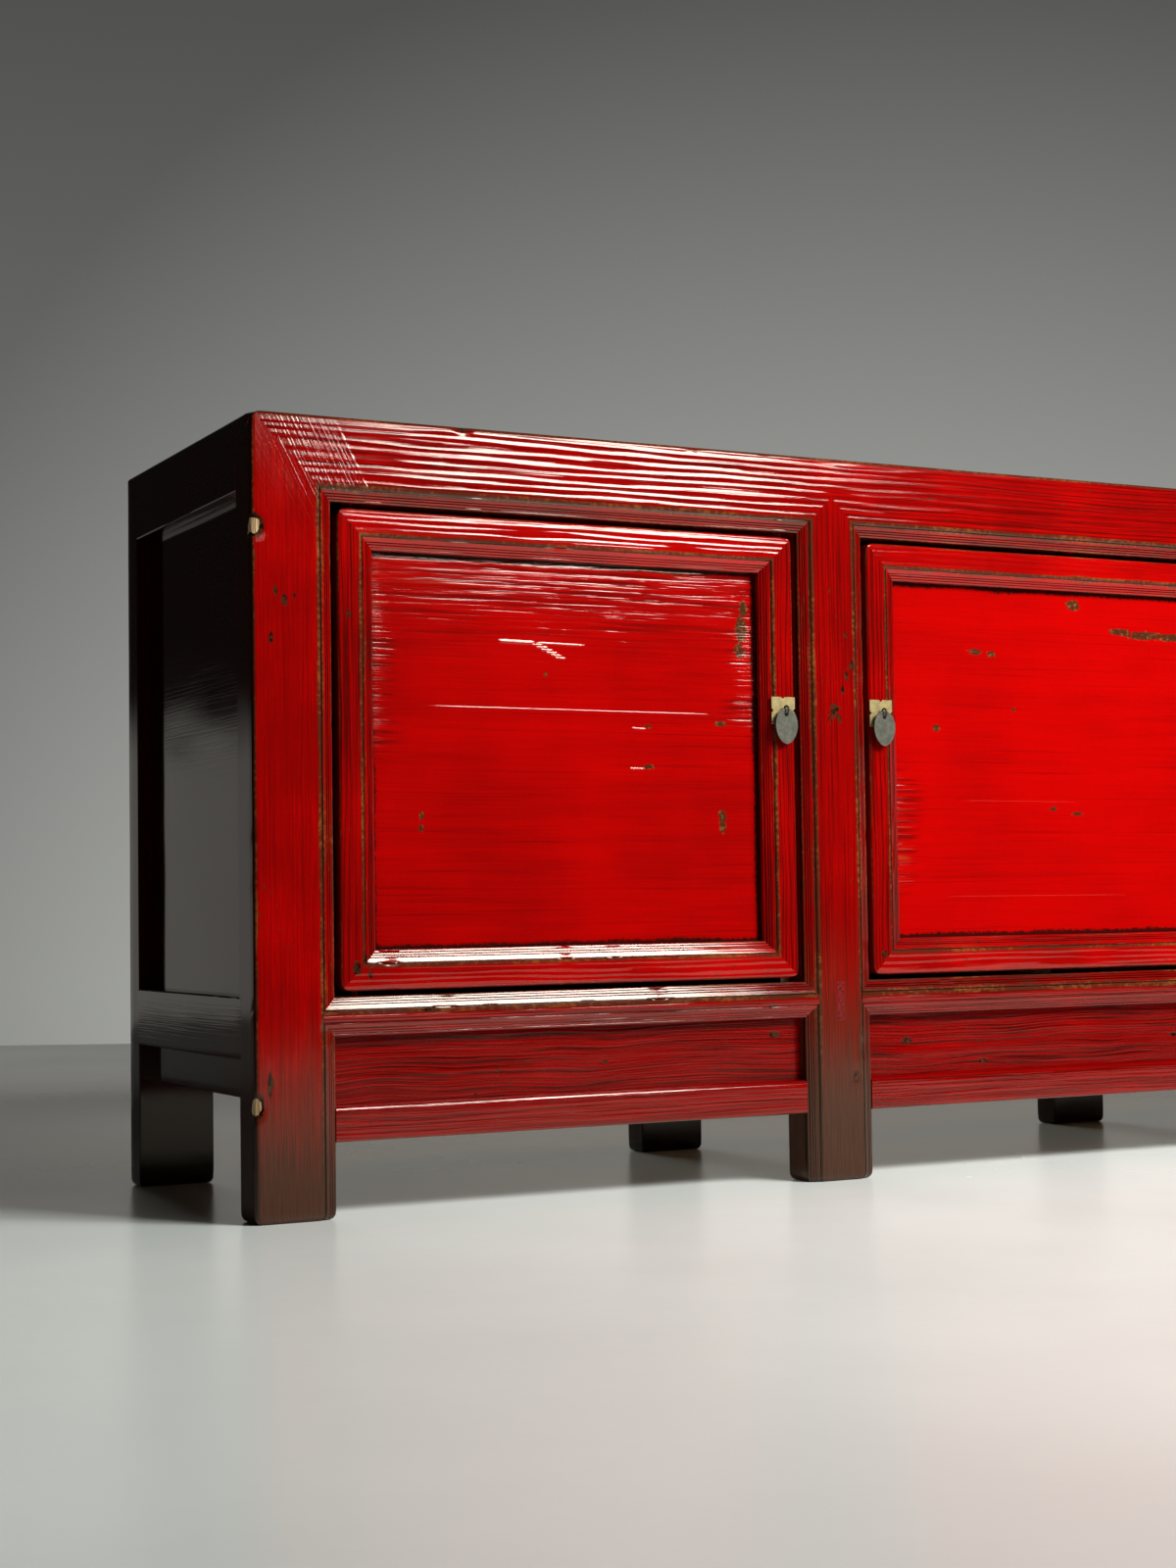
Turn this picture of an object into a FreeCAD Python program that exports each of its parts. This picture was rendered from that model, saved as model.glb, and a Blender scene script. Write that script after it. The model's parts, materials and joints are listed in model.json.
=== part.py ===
import FreeCAD, Part
import os
import re

# A long flush-framed sideboard in lacquered softwood. The posts are also the legs, the frame is
# held by tenons, the panels float in grooves and the doors turn on wooden pivots.
# Lengths are in millimetres. It stands on z = 0 with its length along X and its front towards -Y.

BAYS = 3
HINGE_SIDES = ("left", "right", "right")
ENDS = ("left", "right")
OUTPUT = "parts"

SIZES = {
    # Whole carcass
    "height": 850,
    "depth": 450,
    "bay_opening": 585,
    # Posts and top frame
    "frame_width": 91,
    "mid_post_width": 90,
    "post_depth": 50,
    "rear_post_depth": 40,
    "edge_radius": 5,
    "side_top_height": 80,
    # Moulded inner edge of the front frame
    "bead_width": 15,
    "bead_quirk": 2,
    "bead_drop": 6,
    # Joints
    "shoulder_depth": 10,
    "tenon_thickness": 10,
    "tenon_length": 30,
    "tenon_inset": 10,
    "tenon_set": 18,
    "mid_tenon_width": 40,
    "stub_tenon": 16,
    "stub_cover": 12,
    "groove_depth": 8,
    "panel_clearance": 0.5,
    # Thresholds, aprons and bottom rails
    "threshold_bottom": 191,
    "threshold_height": 41.5,
    "threshold_depth": 50,
    "apron_set": 20,
    "apron_thickness": 12,
    "bottom_rail_bottom": 80,
    "bottom_rail_height": 38,
    "bottom_rail_depth": 34,
    "rail_bead_width": 5,
    "rail_bead_quirk": 1,
    "rail_bead_drop": 2.5,
    # Sides
    "side_rail_bottom": 168,
    "side_rail_height": 66,
    "side_panel_set": 16.5,
    "side_panel_thickness": 10,
    "side_apron_bottom": 125,
    "side_apron_set": 13.5,
    "side_apron_thickness": 12,
    # Back
    "back_rail_depth": 30,
    "back_panel_set": 10,
    "back_panel_thickness": 12,
    # Top boards and battens
    "top_board_thickness": 16,
    "top_tongue_thickness": 8,
    "top_tongue_cover": 5,
    "batten_width": 50,
    "batten_height": 28,
    # Floor and shelf
    "bearer_width": 40,
    "bearer_bottom": 186,
    "bearer_height": 46,
    "through_tenon": 10,
    "floor_drop": 14.5,
    "floor_thickness": 12,
    "shelf_top": 470,
    "shelf_thickness": 14,
    "shelf_bearer_width": 30,
    "shelf_bearer_height": 30,
    "shelf_tenon": 20,
    "shelf_front": 62,
    "shelf_back_gap": 5,
    "shelf_end_gap": 1,
    # Doors
    "door_gap": 7,
    "door_gap_top": 5.5,
    "door_gap_bottom": 5.5,
    "door_set": 7,
    "door_thickness": 34,
    "stile_width": 43,
    "door_bead_width": 15,
    "door_bead_quirk": 1.5,
    "door_bead_drop": 6,
    "door_panel_set": 16,
    "door_panel_thickness": 12,
    "door_tenon_set": 24,
    "door_tenon_thickness": 7,
    "door_tenon_cover": 10,
    "stop_width": 12,
    "stop_clearance": 0.3,
    # Door pivots
    "pivot_radius": 5.5,
    "pivot_length": 12,
    "pivot_inset": 20,
    "pivot_clearance": 0.05,
    "pivot_end_clearance": 0.3,
    "pivot_lift": 6,
    # Pulls
    "pull_height": 549,
    "pull_inset": 16.5,
    "plate_size": 32,
    "plate_thickness": 1.5,
    "notch_depth": 2.5,
    "eye_radius": 5,
    "wire_radius": 1.2,
    "eye_clearance": 0.2,
    "shank_radius": 1.8,
    "shank_clearance": 0.1,
    "clench_length": 20,
    "clench_width": 4,
    "clench_thickness": 1.5,
    "drop_width": 30,
    "drop_height": 42,
    "drop_widest": 18,
    "drop_top_radius": 16,
    "drop_thickness": 2,
    "drop_hole_radius": 2.2,
    "drop_bar": 5.6,
    "drop_clearance": 0.5,
}

# Places that several pieces share, as expressions in the sizes above. Along X they count from the
# left end, along Y from the front face of the posts.
LENGTH = f"(2 * frame_width + {BAYS} * bay_opening + {BAYS - 1} * mid_post_width)"
EYE_REACH = "(2 * (eye_radius + wire_radius) + eye_clearance + plate_thickness)"
FRONT = f"(max(0; {EYE_REACH} - door_set) / 2 - depth / 2)"
REAR_POST_FRONT = "(depth - rear_post_depth)"
OPENING_TOP = "(height - frame_width)"
THRESHOLD_TOP = "(threshold_bottom + threshold_height)"
BOTTOM_RAIL_TOP = "(bottom_rail_bottom + bottom_rail_height)"
SIDE_RAIL_TOP = "(side_rail_bottom + side_rail_height)"
SHELF_BEARER_TOP = "(shelf_top - shelf_thickness)"
BOARD_BOTTOM = "(height - top_board_thickness)"
DOOR_BACK = "(door_set + door_thickness)"
BETWEEN_POSTS = ("post_depth", REAR_POST_FRONT)

ALONG = {
    "x": FreeCAD.Rotation(FreeCAD.Vector(0, 1, 0), 90),
    "y": FreeCAD.Rotation(FreeCAD.Vector(1, 0, 0), -90),
    "z": FreeCAD.Rotation(),
}

doc = FreeCAD.newDocument("Sideboard")
nodes = {}


def fill_sheet():
    """Put every driving size in the spreadsheet, under its own name."""
    sheet = doc.addObject("Spreadsheet::Sheet", "Sizes")
    for row, (name, value) in enumerate(SIZES.items(), start=1):
        sheet.set(f"A{row}", name)
        sheet.set(f"B{row}", str(value))
        sheet.setAlias(f"B{row}", name)
    doc.recompute()


def bound(text):
    """Turn the size names in an expression into references to the sheet."""
    return re.sub(r"[a-z_]{2,}", lambda word: f"Sizes.{word[0]}" if word[0] in SIZES else word[0], text)


def place(item, x, y, z):
    """Tie an object's position to the sizes."""
    item.setExpression("Placement.Base.x", bound(f"({x}) - {LENGTH} / 2"))
    item.setExpression("Placement.Base.y", bound(f"({y}) + {FRONT}"))
    item.setExpression("Placement.Base.z", bound(z))


def block(x, y, z):
    """A box between pairs of places along the three axes."""
    item = doc.addObject("Part::Box", "Block")
    for side, (low, high) in zip(("Length", "Width", "Height"), (x, y, z)):
        item.setExpression(side, bound(f"({high}) - ({low})"))
    place(item, x[0], y[0], z[0])
    return item


def turned(item, axis, start, length):
    """Lay a round or many-sided bar along an axis, from its start."""
    item.Placement = FreeCAD.Placement(FreeCAD.Vector(), ALONG[axis])
    item.setExpression("Height", bound(length))
    place(item, *start)
    return item


def rod(axis, start, length, radius):
    """A round bar."""
    item = doc.addObject("Part::Cylinder", "Rod")
    item.setExpression("Radius", bound(radius))
    return turned(item, axis, start, length)


def diamond(axis, start, length, half):
    """A square bar that stands on its corner, for cuts and points at 45 degrees."""
    item = doc.addObject("Part::Prism", "Diamond")
    item.Polygon = 4
    item.setExpression("Circumradius", bound(half))
    return turned(item, axis, start, length)


def carve(piece, *tools):
    """Cut each tool out of a piece."""
    for tool in tools:
        cut = doc.addObject("Part::Cut", "Carved")
        cut.Base = piece
        cut.Tool = tool
        piece = cut
    return piece


def join(*pieces):
    """Make one solid of pieces that overlap or meet."""
    joined = doc.addObject("Part::MultiFuse", "Joined")
    joined.Shapes = list(pieces)
    return joined


def shared(*pieces):
    """What all the pieces have in common."""
    common = doc.addObject("Part::MultiCommon", "Shared")
    common.Shapes = list(pieces)
    return common


def node(label, *pieces):
    """Name a finished piece, or a group of like pieces, for its file."""
    if len(pieces) == 1:
        named = pieces[0]
    else:
        named = doc.addObject("Part::Compound", "Group")
        named.Links = list(pieces)
    named.Label = label
    nodes[label] = named


def about(middle, width):
    """The two faces of something centred on a place."""
    return f"({middle} - {width} / 2)", f"({middle} + {width} / 2)"


def inset(span, amount):
    """A span made shorter by the same amount at both ends."""
    return f"({span[0]} + {amount})", f"({span[1]} - {amount})"


def outset(span, amount):
    """A span made longer by the same amount at both ends."""
    return f"({span[0]} - {amount})", f"({span[1]} + {amount})"


def thick(low, thickness):
    """A span from its nearer face and its thickness."""
    return low, f"({low} + {thickness})"


def from_end(end, near, far):
    """A span along X, measured inwards from the left or the right end."""
    return (near, far) if end == "left" else (f"({LENGTH} - ({far}))", f"({LENGTH} - ({near}))")


def post_span(number):
    """Left and right faces of a post, counted from 0 at the left."""
    if number == 0:
        return "0", "frame_width"
    left = f"(frame_width + {number} * bay_opening + {number - 1} * mid_post_width)"
    return thick(left, "frame_width" if number == BAYS else "mid_post_width")


def bay_span(bay):
    """Left and right sides of a door's opening."""
    return post_span(bay)[1], post_span(bay + 1)[0]


def mid_post_centre(number):
    """Middle of a middle post along X."""
    return f"({post_span(number)[0]} + mid_post_width / 2)"


def bays_beside(number):
    """The bays on either side of a post."""
    return [bay for bay in (number - 1, number) if 0 <= bay < BAYS]


def bead_cutter(run, ends, edge, inward, face, width, quirk, drop):
    """Cutter that leaves a moulded edge: a small step, then an arc that falls to the edge."""
    fall = f"({drop} - {quirk})"
    radius = f"(({width} * {width} + {fall} * {fall}) / (2 * {fall}))"
    flat_edge = f"({edge} {inward} {width})"
    strip = (edge, flat_edge) if inward == "+" else (flat_edge, edge)
    cut_depth = (f"({face} - {width})", f"({face} + {drop})")
    arc_depth = f"({face} + {quirk} + {radius})"
    length = f"({ends[1]} - {ends[0]})"
    if run == "z":
        waste = block(strip, cut_depth, ends)
        arc = rod("z", (flat_edge, arc_depth, ends[0]), length, radius)
    else:
        waste = block(ends, cut_depth, strip)
        arc = rod("x", (ends[0], arc_depth, flat_edge), length, radius)
    return carve(waste, arc)


def frame_bead(run, ends, edge, inward):
    """Cutter for the moulding on the front frame."""
    return bead_cutter(run, ends, edge, inward, "0", "bead_width", "bead_quirk", "bead_drop")


def door_bead(run, ends, edge, inward):
    """Cutter for the moulding on a door's frame."""
    return bead_cutter(run, ends, edge, inward, "door_set",
                       "door_bead_width", "door_bead_quirk", "door_bead_drop")


def round_cutter(run, ends, first, second):
    """Cutter that rounds an outer edge; first and second give its place and the way into the wood."""
    middles = [f"({edge} {inward} edge_radius)" for edge, inward in (first, second)]
    spans = [(edge, middle) if inward == "+" else (middle, edge)
             for (edge, inward), middle in zip((first, second), middles)]
    at = "xyz".index(run)
    spans.insert(at, ends)
    middles.insert(at, ends[0])
    return carve(block(*spans), rod(run, middles, f"({ends[1]} - {ends[0]})", "edge_radius"))


def panel_in_groove(x, y, z, thin):
    """A floating panel and its groove, which is deeper than the panel by a clearance all round."""
    loose = [span if axis == thin else inset(span, "panel_clearance")
             for axis, span in zip("xyz", (x, y, z))]
    return block(*loose), block(x, y, z)


def end_tenons(span, face, z):
    """Tenons at both ends of a rail that runs along X, measured back from a face of its posts."""
    return block(outset(span, "tenon_length"), thick(f"({face} + tenon_set)", "tenon_thickness"),
                 inset(z, "tenon_inset"))


def threshold(bay):
    """Rail under a door, moulded above and below, with pointed shoulders on the posts' mouldings."""
    span = bay_span(bay)
    z = ("threshold_bottom", THRESHOLD_TOP)
    middle = "(threshold_bottom + threshold_height / 2)"
    reach = outset(span, "bead_width")
    points = [diamond("y", (side, "0", middle), "shoulder_depth", "threshold_height / 2") for side in span]
    shoulders = shared(join(*points), block(reach, ("0", "shoulder_depth"), z))
    body = block(span, ("0", "threshold_depth"), z)
    return carve(join(body, shoulders, end_tenons(span, "0", z)),
                 frame_bead("x", reach, THRESHOLD_TOP, "-"),
                 frame_bead("x", reach, "threshold_bottom", "+"))


def bottom_rail(bay):
    """Rail under an apron panel, set back to the low edge of the posts' mouldings."""
    span = bay_span(bay)
    z = ("bottom_rail_bottom", BOTTOM_RAIL_TOP)
    body = block(span, thick("bead_drop", "bottom_rail_depth"), z)
    bead = bead_cutter("x", span, BOTTOM_RAIL_TOP, "-", "bead_drop",
                       "rail_bead_width", "rail_bead_quirk", "rail_bead_drop")
    return carve(join(body, end_tenons(span, "0", z)), bead)


def apron(bay):
    """Thin panel between a threshold and a bottom rail."""
    low = f"({BOTTOM_RAIL_TOP} - groove_depth)"
    high = "(threshold_bottom + groove_depth)"
    return panel_in_groove(outset(bay_span(bay), "groove_depth"), thick("apron_set", "apron_thickness"),
                           (low, high), "y")


def side_rail(end):
    """Rail along an end of the carcass, flush with the posts."""
    z = ("side_rail_bottom", SIDE_RAIL_TOP)
    body = block(from_end(end, "0", "post_depth"), BETWEEN_POSTS, z)
    tenons = block(from_end(end, *thick("tenon_set", "tenon_thickness")),
                   outset(BETWEEN_POSTS, "tenon_length"), inset(z, "tenon_inset"))
    return join(body, tenons)


def side_panel(end):
    """Panel of an end, set back between the posts."""
    z = (f"({SIDE_RAIL_TOP} - groove_depth)", "(height - side_top_height + groove_depth)")
    return panel_in_groove(from_end(end, *thick("side_panel_set", "side_panel_thickness")),
                           outset(BETWEEN_POSTS, "groove_depth"), z, "x")


def side_apron(end):
    """Board under an end's rail; its lower edge is free."""
    z = ("side_apron_bottom", "(side_rail_bottom + groove_depth)")
    return panel_in_groove(from_end(end, *thick("side_apron_set", "side_apron_thickness")),
                           outset(BETWEEN_POSTS, "groove_depth"), z, "x")


def back_rail(bay):
    """Lower rail between two rear posts."""
    span = bay_span(bay)
    z = ("side_rail_bottom", SIDE_RAIL_TOP)
    body = block(span, thick(REAR_POST_FRONT, "back_rail_depth"), z)
    return join(body, end_tenons(span, REAR_POST_FRONT, z))


def back_panel(bay):
    """Panel between two rear posts."""
    z = (f"({SIDE_RAIL_TOP} - groove_depth)", f"({OPENING_TOP} + groove_depth)")
    return panel_in_groove(outset(bay_span(bay), "groove_depth"),
                           thick(f"({REAR_POST_FRONT} + back_panel_set)", "back_panel_thickness"), z, "y")


def floor_bearer(number):
    """Beam from a middle post to the one behind it, with tenons right through both."""
    middle = mid_post_centre(number)
    z = thick("bearer_bottom", "bearer_height")
    return join(block(about(middle, "bearer_width"), BETWEEN_POSTS, z),
                block(about(middle, "through_tenon"), ("0", "depth"), z))


def floor_board(bay):
    """Floor of one bay, held in grooves all round."""
    left, right = inset(("0", LENGTH), "post_depth")
    if bay > 0:
        left = about(mid_post_centre(bay), "bearer_width")[1]
    if bay < BAYS - 1:
        right = about(mid_post_centre(bay + 1), "bearer_width")[0]
    top = f"({THRESHOLD_TOP} - floor_drop)"
    return panel_in_groove(outset((left, right), "groove_depth"),
                           outset(("threshold_depth", REAR_POST_FRONT), "groove_depth"),
                           (f"({top} - floor_thickness)", top), "z")


def shelf_bearer(x):
    """Beam under the shelf, from a front post to a rear post."""
    z = (f"({SHELF_BEARER_TOP} - shelf_bearer_height)", SHELF_BEARER_TOP)
    middle = f"(({x[0]} + {x[1]}) / 2)"
    return join(block(x, BETWEEN_POSTS, z),
                block(about(middle, "tenon_thickness"), outset(BETWEEN_POSTS, "shelf_tenon"), z))


def shelf_board(bay):
    """Loose shelf over one bay, on two bearers."""
    left = "post_depth" if bay == 0 else mid_post_centre(bay)
    right = f"({LENGTH} - post_depth)" if bay == BAYS - 1 else mid_post_centre(bay + 1)
    return block(inset((left, right), "shelf_end_gap"),
                 ("shelf_front", f"({REAR_POST_FRONT} - shelf_back_gap)"), (SHELF_BEARER_TOP, "shelf_top"))


def batten(bay):
    """Brace under the top boards, tenoned into the front and rear rails."""
    middle = f"({bay_span(bay)[0]} + bay_opening / 2)"
    z = (f"({BOARD_BOTTOM} - batten_height)", BOARD_BOTTOM)
    tongue = about(f"({BOARD_BOTTOM} - batten_height / 2)", "tenon_thickness")
    return join(block(about(middle, "batten_width"), BETWEEN_POSTS, z),
                block(inset(about(middle, "batten_width"), "tenon_inset"),
                      outset(BETWEEN_POSTS, "tenon_length"), tongue))


def door_stop(bay):
    """Strip on a post behind a door's free stile."""
    left, right = bay_span(bay)
    x = (f"({right} - stop_width)", right) if HINGE_SIDES[bay] == "left" else thick(left, "stop_width")
    return block(x, (f"({DOOR_BACK} + stop_clearance)", "post_depth"), (THRESHOLD_TOP, OPENING_TOP))


def corner_post_blank(end, y, inner_y, outer_y, post_depth):
    """Corner post with its half of the three-way mitre and the stub tenon inside it."""
    x = from_end(end, "0", "frame_width")
    inner_x = x[1] if end == "left" else x[0]
    stub_x = from_end(end, *about(f"({post_depth} / 2)", "stub_tenon"))
    stub_y = about(f"({outer_y} {'+' if outer_y == '0' else '-'} {post_depth} / 2)", "stub_tenon")
    mitred = carve(block(x, y, ("0", "height")),
                   diamond("y", (inner_x, y[0], "height"), post_depth, "frame_width"),
                   diamond("x", (x[0], inner_y, "height"), "frame_width", post_depth))
    return join(mitred, block(stub_x, stub_y, (OPENING_TOP, "(height - stub_cover)")))


def front_post_blank(number):
    """Front post with its joint to the top rail: a mitre at the corners, else a pointed shoulder."""
    y = ("0", "post_depth")
    if number in (0, BAYS):
        return corner_post_blank("left" if number == 0 else "right", y, "post_depth", "0", "post_depth")
    middle = mid_post_centre(number)
    point = diamond("y", (middle, "0", OPENING_TOP), "shoulder_depth", "mid_post_width / 2")
    tenon = block(about(middle, "mid_tenon_width"), thick("tenon_set", "tenon_thickness"),
                  thick(OPENING_TOP, "tenon_length"))
    return join(block(post_span(number), y, ("0", OPENING_TOP)), point, tenon)


def rear_post_blank(number):
    """Rear post with its joint to the rear rail."""
    y = (REAR_POST_FRONT, "depth")
    if number in (0, BAYS):
        return corner_post_blank("left" if number == 0 else "right", y, REAR_POST_FRONT, "depth",
                                 "rear_post_depth")
    tenon = block(about(mid_post_centre(number), "mid_tenon_width"),
                  thick(f"({REAR_POST_FRONT} + tenon_set)", "tenon_thickness"),
                  thick(OPENING_TOP, "tenon_length"))
    return join(block(post_span(number), y, ("0", OPENING_TOP)), tenon)


def outer_edge(number, y_edge, y_inward):
    """Cutter that rounds a corner post's outer edge."""
    x_edge = ("0", "+") if number == 0 else (LENGTH, "-")
    return round_cutter("z", ("0", "height"), x_edge, (y_edge, y_inward))


def make_carcass():
    """Everything that stands still."""
    bays = range(BAYS)
    posts = range(BAYS + 1)
    mids = range(1, BAYS)
    thresholds = [threshold(bay) for bay in bays]
    bottom_rails = [bottom_rail(bay) for bay in bays]
    aprons, apron_grooves = zip(*[apron(bay) for bay in bays])
    back_rails = [back_rail(bay) for bay in bays]
    back_panels, back_grooves = zip(*[back_panel(bay) for bay in bays])
    floors, floor_grooves = zip(*[floor_board(bay) for bay in bays])
    side_rails = {end: side_rail(end) for end in ENDS}
    side_panels = {end: side_panel(end) for end in ENDS}
    side_aprons = {end: side_apron(end) for end in ENDS}
    bearers = {number: floor_bearer(number) for number in mids}
    shelf_bearers = {number: shelf_bearer(about(mid_post_centre(number), "shelf_bearer_width"))
                     for number in mids}
    for number, end in ((0, "left"), (BAYS, "right")):
        shelf_bearers[number] = shelf_bearer(from_end(end, *thick("post_depth", "shelf_bearer_width")))
    battens = [batten(bay) for bay in bays]

    def let_in(number):
        """What is let into the front post and the rear post at one place along the length."""
        cuts = [shelf_bearers[number]]
        cuts += [floor_grooves[bay] for bay in bays_beside(number)]
        if number in mids:
            return cuts + [bearers[number]]
        end = "left" if number == 0 else "right"
        return cuts + [side_rails[end], side_panels[end][1], side_aprons[end][1]]

    front_blanks = [front_post_blank(number) for number in posts]
    rear_blanks = [rear_post_blank(number) for number in posts]
    for number in posts:
        left, right = post_span(number)
        front_cuts = []
        if number > 0:
            front_cuts.append(frame_bead("z", ("0", "height"), left, "+"))
        if number < BAYS:
            front_cuts.append(frame_bead("z", ("0", "height"), right, "-"))
        rear_cuts = []
        if number in (0, BAYS):
            front_cuts.append(outer_edge(number, "0", "+"))
            rear_cuts.append(outer_edge(number, "depth", "-"))
        for bay in bays_beside(number):
            front_cuts += [thresholds[bay], bottom_rails[bay], apron_grooves[bay]]
            rear_cuts += [back_rails[bay], back_grooves[bay]]
        node(f"front_post_{number + 1}", carve(front_blanks[number], *front_cuts, *let_in(number)))
        node(f"rear_post_{number + 1}", carve(rear_blanks[number], *rear_cuts, *let_in(number)))

    for bay in bays:
        pivot = door_pivot(bay)
        socket = rod("z", (*pivot, f"({THRESHOLD_TOP} - pivot_length - pivot_end_clearance)"),
                     "pivot_length + pivot_end_clearance", "pivot_radius + pivot_clearance")
        node(f"threshold_{bay + 1}", carve(thresholds[bay], apron_grooves[bay], floor_grooves[bay], socket))
        node(f"bottom_rail_{bay + 1}", carve(bottom_rails[bay], apron_grooves[bay]))
    node("apron_panels", *aprons)
    node("back_panels", *back_panels)
    node("back_rails", *[carve(back_rails[bay], back_grooves[bay], floor_grooves[bay]) for bay in bays])
    node("floor_boards", *floors)
    node("floor_bearers", *[carve(bearers[number], floor_grooves[number - 1], floor_grooves[number])
                            for number in mids])
    node("shelf_bearers", *shelf_bearers.values())
    node("shelf_boards", *[shelf_board(bay) for bay in bays])
    node("door_stops", *[door_stop(bay) for bay in bays])
    node("top_battens", *battens)
    make_top_frame(front_blanks, rear_blanks, back_grooves, side_panels, battens)
    for end in ENDS:
        bay = 0 if end == "left" else BAYS - 1
        node(f"side_rail_{end}", carve(side_rails[end], side_panels[end][1], side_aprons[end][1],
                                       floor_grooves[bay]))
        node(f"side_panel_{end}", side_panels[end][0])
        node(f"side_apron_{end}", side_aprons[end][0])


def make_top_frame(front_blanks, rear_blanks, back_grooves, side_panels, battens):
    """Four rails mitred with the corner posts, and the boards that float between them."""
    whole = ("0", LENGTH)
    inside_x = inset(whole, "post_depth")
    tongue_z = ("(height - top_tongue_cover - top_tongue_thickness)", "(height - top_tongue_cover)")
    groove = block(outset(inside_x, "groove_depth"), outset(BETWEEN_POSTS, "groove_depth"), tongue_z)

    def rail_blank(y, inner_y, rail_depth, post_blanks):
        z = (OPENING_TOP, "height")
        mitres = [diamond("z", (end_x, inner_y, OPENING_TOP), "frame_width", rail_depth) for end_x in whole]
        return carve(block(whole, y, z), *post_blanks, *mitres)

    front = rail_blank(("0", "post_depth"), "post_depth", "post_depth", front_blanks)
    rear = rail_blank((REAR_POST_FRONT, "depth"), REAR_POST_FRONT, "rear_post_depth", rear_blanks)
    sockets = [rod("z", (*door_pivot(bay), OPENING_TOP), "pivot_length + pivot_lift",
                   "pivot_radius + pivot_clearance") for bay in range(BAYS)]
    front_edge = round_cutter("x", whole, ("0", "+"), ("height", "-"))
    rear_edge = round_cutter("x", whole, ("depth", "-"), ("height", "-"))
    node("top_rail_front", carve(front, frame_bead("x", whole, OPENING_TOP, "+"), front_edge, groove,
                                 *sockets, *battens))
    node("top_rail_rear", carve(rear, rear_edge, groove, *back_grooves, *battens))
    for end, number in (("left", 0), ("right", BAYS)):
        side = block(from_end(end, "0", "post_depth"), ("0", "depth"),
                     ("(height - side_top_height)", "height"))
        outer = ("0", "+") if end == "left" else (LENGTH, "-")
        node(f"top_rail_{end}", carve(side, front_blanks[number], rear_blanks[number], front, rear,
                                      round_cutter("y", ("0", "depth"), outer, ("height", "-")),
                                      groove, side_panels[end][1]))

    seam = "((post_depth + depth - rear_post_depth) / 2)"
    tongue_x = inset(outset(inside_x, "groove_depth"), "panel_clearance")
    tongue_y = inset(outset(BETWEEN_POSTS, "groove_depth"), "panel_clearance")
    for name, y, far_y in (("front", (BETWEEN_POSTS[0], seam), (tongue_y[0], seam)),
                           ("rear", (seam, BETWEEN_POSTS[1]), (seam, tongue_y[1]))):
        node(f"top_board_{name}", join(block(inside_x, y, (BOARD_BOTTOM, "height")),
                                       block(tongue_x, far_y, tongue_z)))


def door_span(bay):
    """Left and right edges of a door."""
    return inset(bay_span(bay), "door_gap")


def door_pivot(bay):
    """Place of a door's turning axis, along X and Y."""
    left, right = door_span(bay)
    x = f"({left} + pivot_inset)" if HINGE_SIDES[bay] == "left" else f"({right} - pivot_inset)"
    return x, "(door_set + door_thickness / 2)"


def make_door(bay):
    """One door: a mitred frame, a floating panel, two wooden pivots and a pull."""
    name = f"door_{bay + 1}"
    x = door_span(bay)
    y = ("door_set", DOOR_BACK)
    z = (f"({THRESHOLD_TOP} + door_gap_bottom)", f"({OPENING_TOP} - door_gap_top)")
    inner_x = inset(x, "stile_width")
    inner_z = inset(z, "stile_width")
    panel, groove = panel_in_groove(outset(inner_x, "groove_depth"),
                                    thick("(door_set + door_panel_set)", "door_panel_thickness"),
                                    outset(inner_z, "groove_depth"), "y")
    node(f"{name}_panel", panel)

    def stile_blank(outer, inner):
        mitres = [diamond("y", (inner, "door_set", end_z), "door_thickness", "stile_width") for end_z in z]
        span = (outer, inner) if outer == x[0] else (inner, outer)
        return carve(block(span, y, z), *mitres)

    blanks = [stile_blank(outer, inner) for outer, inner in zip(x, inner_x)]
    tenon_y = thick("(door_set + door_tenon_set)", "door_tenon_thickness")
    rails_z = {"bottom": (z[0], inner_z[0]), "top": (inner_z[1], z[1])}
    tenons = {place_name: block(inset(x, "door_tenon_cover"), tenon_y, inset(rail_z, "door_tenon_cover"))
              for place_name, rail_z in rails_z.items()}

    pivot = door_pivot(bay)
    neck = block(about(pivot[0], "2 * pivot_radius"), about(pivot[1], "2 * pivot_radius"), z)
    foot = rod("z", (*pivot, f"({z[0]} - door_gap_bottom - pivot_length)"),
               "stile_width + door_gap_bottom + pivot_length", "pivot_radius")
    head = rod("z", (*pivot, inner_z[1]), "stile_width + door_gap_top + pivot_length", "pivot_radius")
    shank_hole = rod("y", (pull_x(bay), "door_set", "pull_height"), "door_thickness",
                     "shank_radius + shank_clearance")

    for side, blank, edge, inward in zip(ENDS, blanks, inner_x, "-+"):
        stile = carve(blank, *tenons.values(), door_bead("z", z, edge, inward), groove)
        if side == HINGE_SIDES[bay]:
            node(f"{name}_hinge_stile", join(stile, neck, foot, head))
        else:
            node(f"{name}_free_stile", carve(stile, shank_hole))
    for place_name, edge, inward in (("bottom", inner_z[0], "-"), ("top", inner_z[1], "+")):
        bar = carve(block(x, y, rails_z[place_name]), *blanks)
        rail = join(bar, tenons[place_name])
        node(f"{name}_{place_name}_rail", carve(rail, door_bead("x", x, edge, inward), groove, neck))
    make_pull(bay, name)


def pull_x(bay):
    """Middle of a door's pull along X, on the free stile."""
    left, right = door_span(bay)
    return f"({right} - pull_inset)" if HINGE_SIDES[bay] == "left" else f"({left} + pull_inset)"


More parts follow.
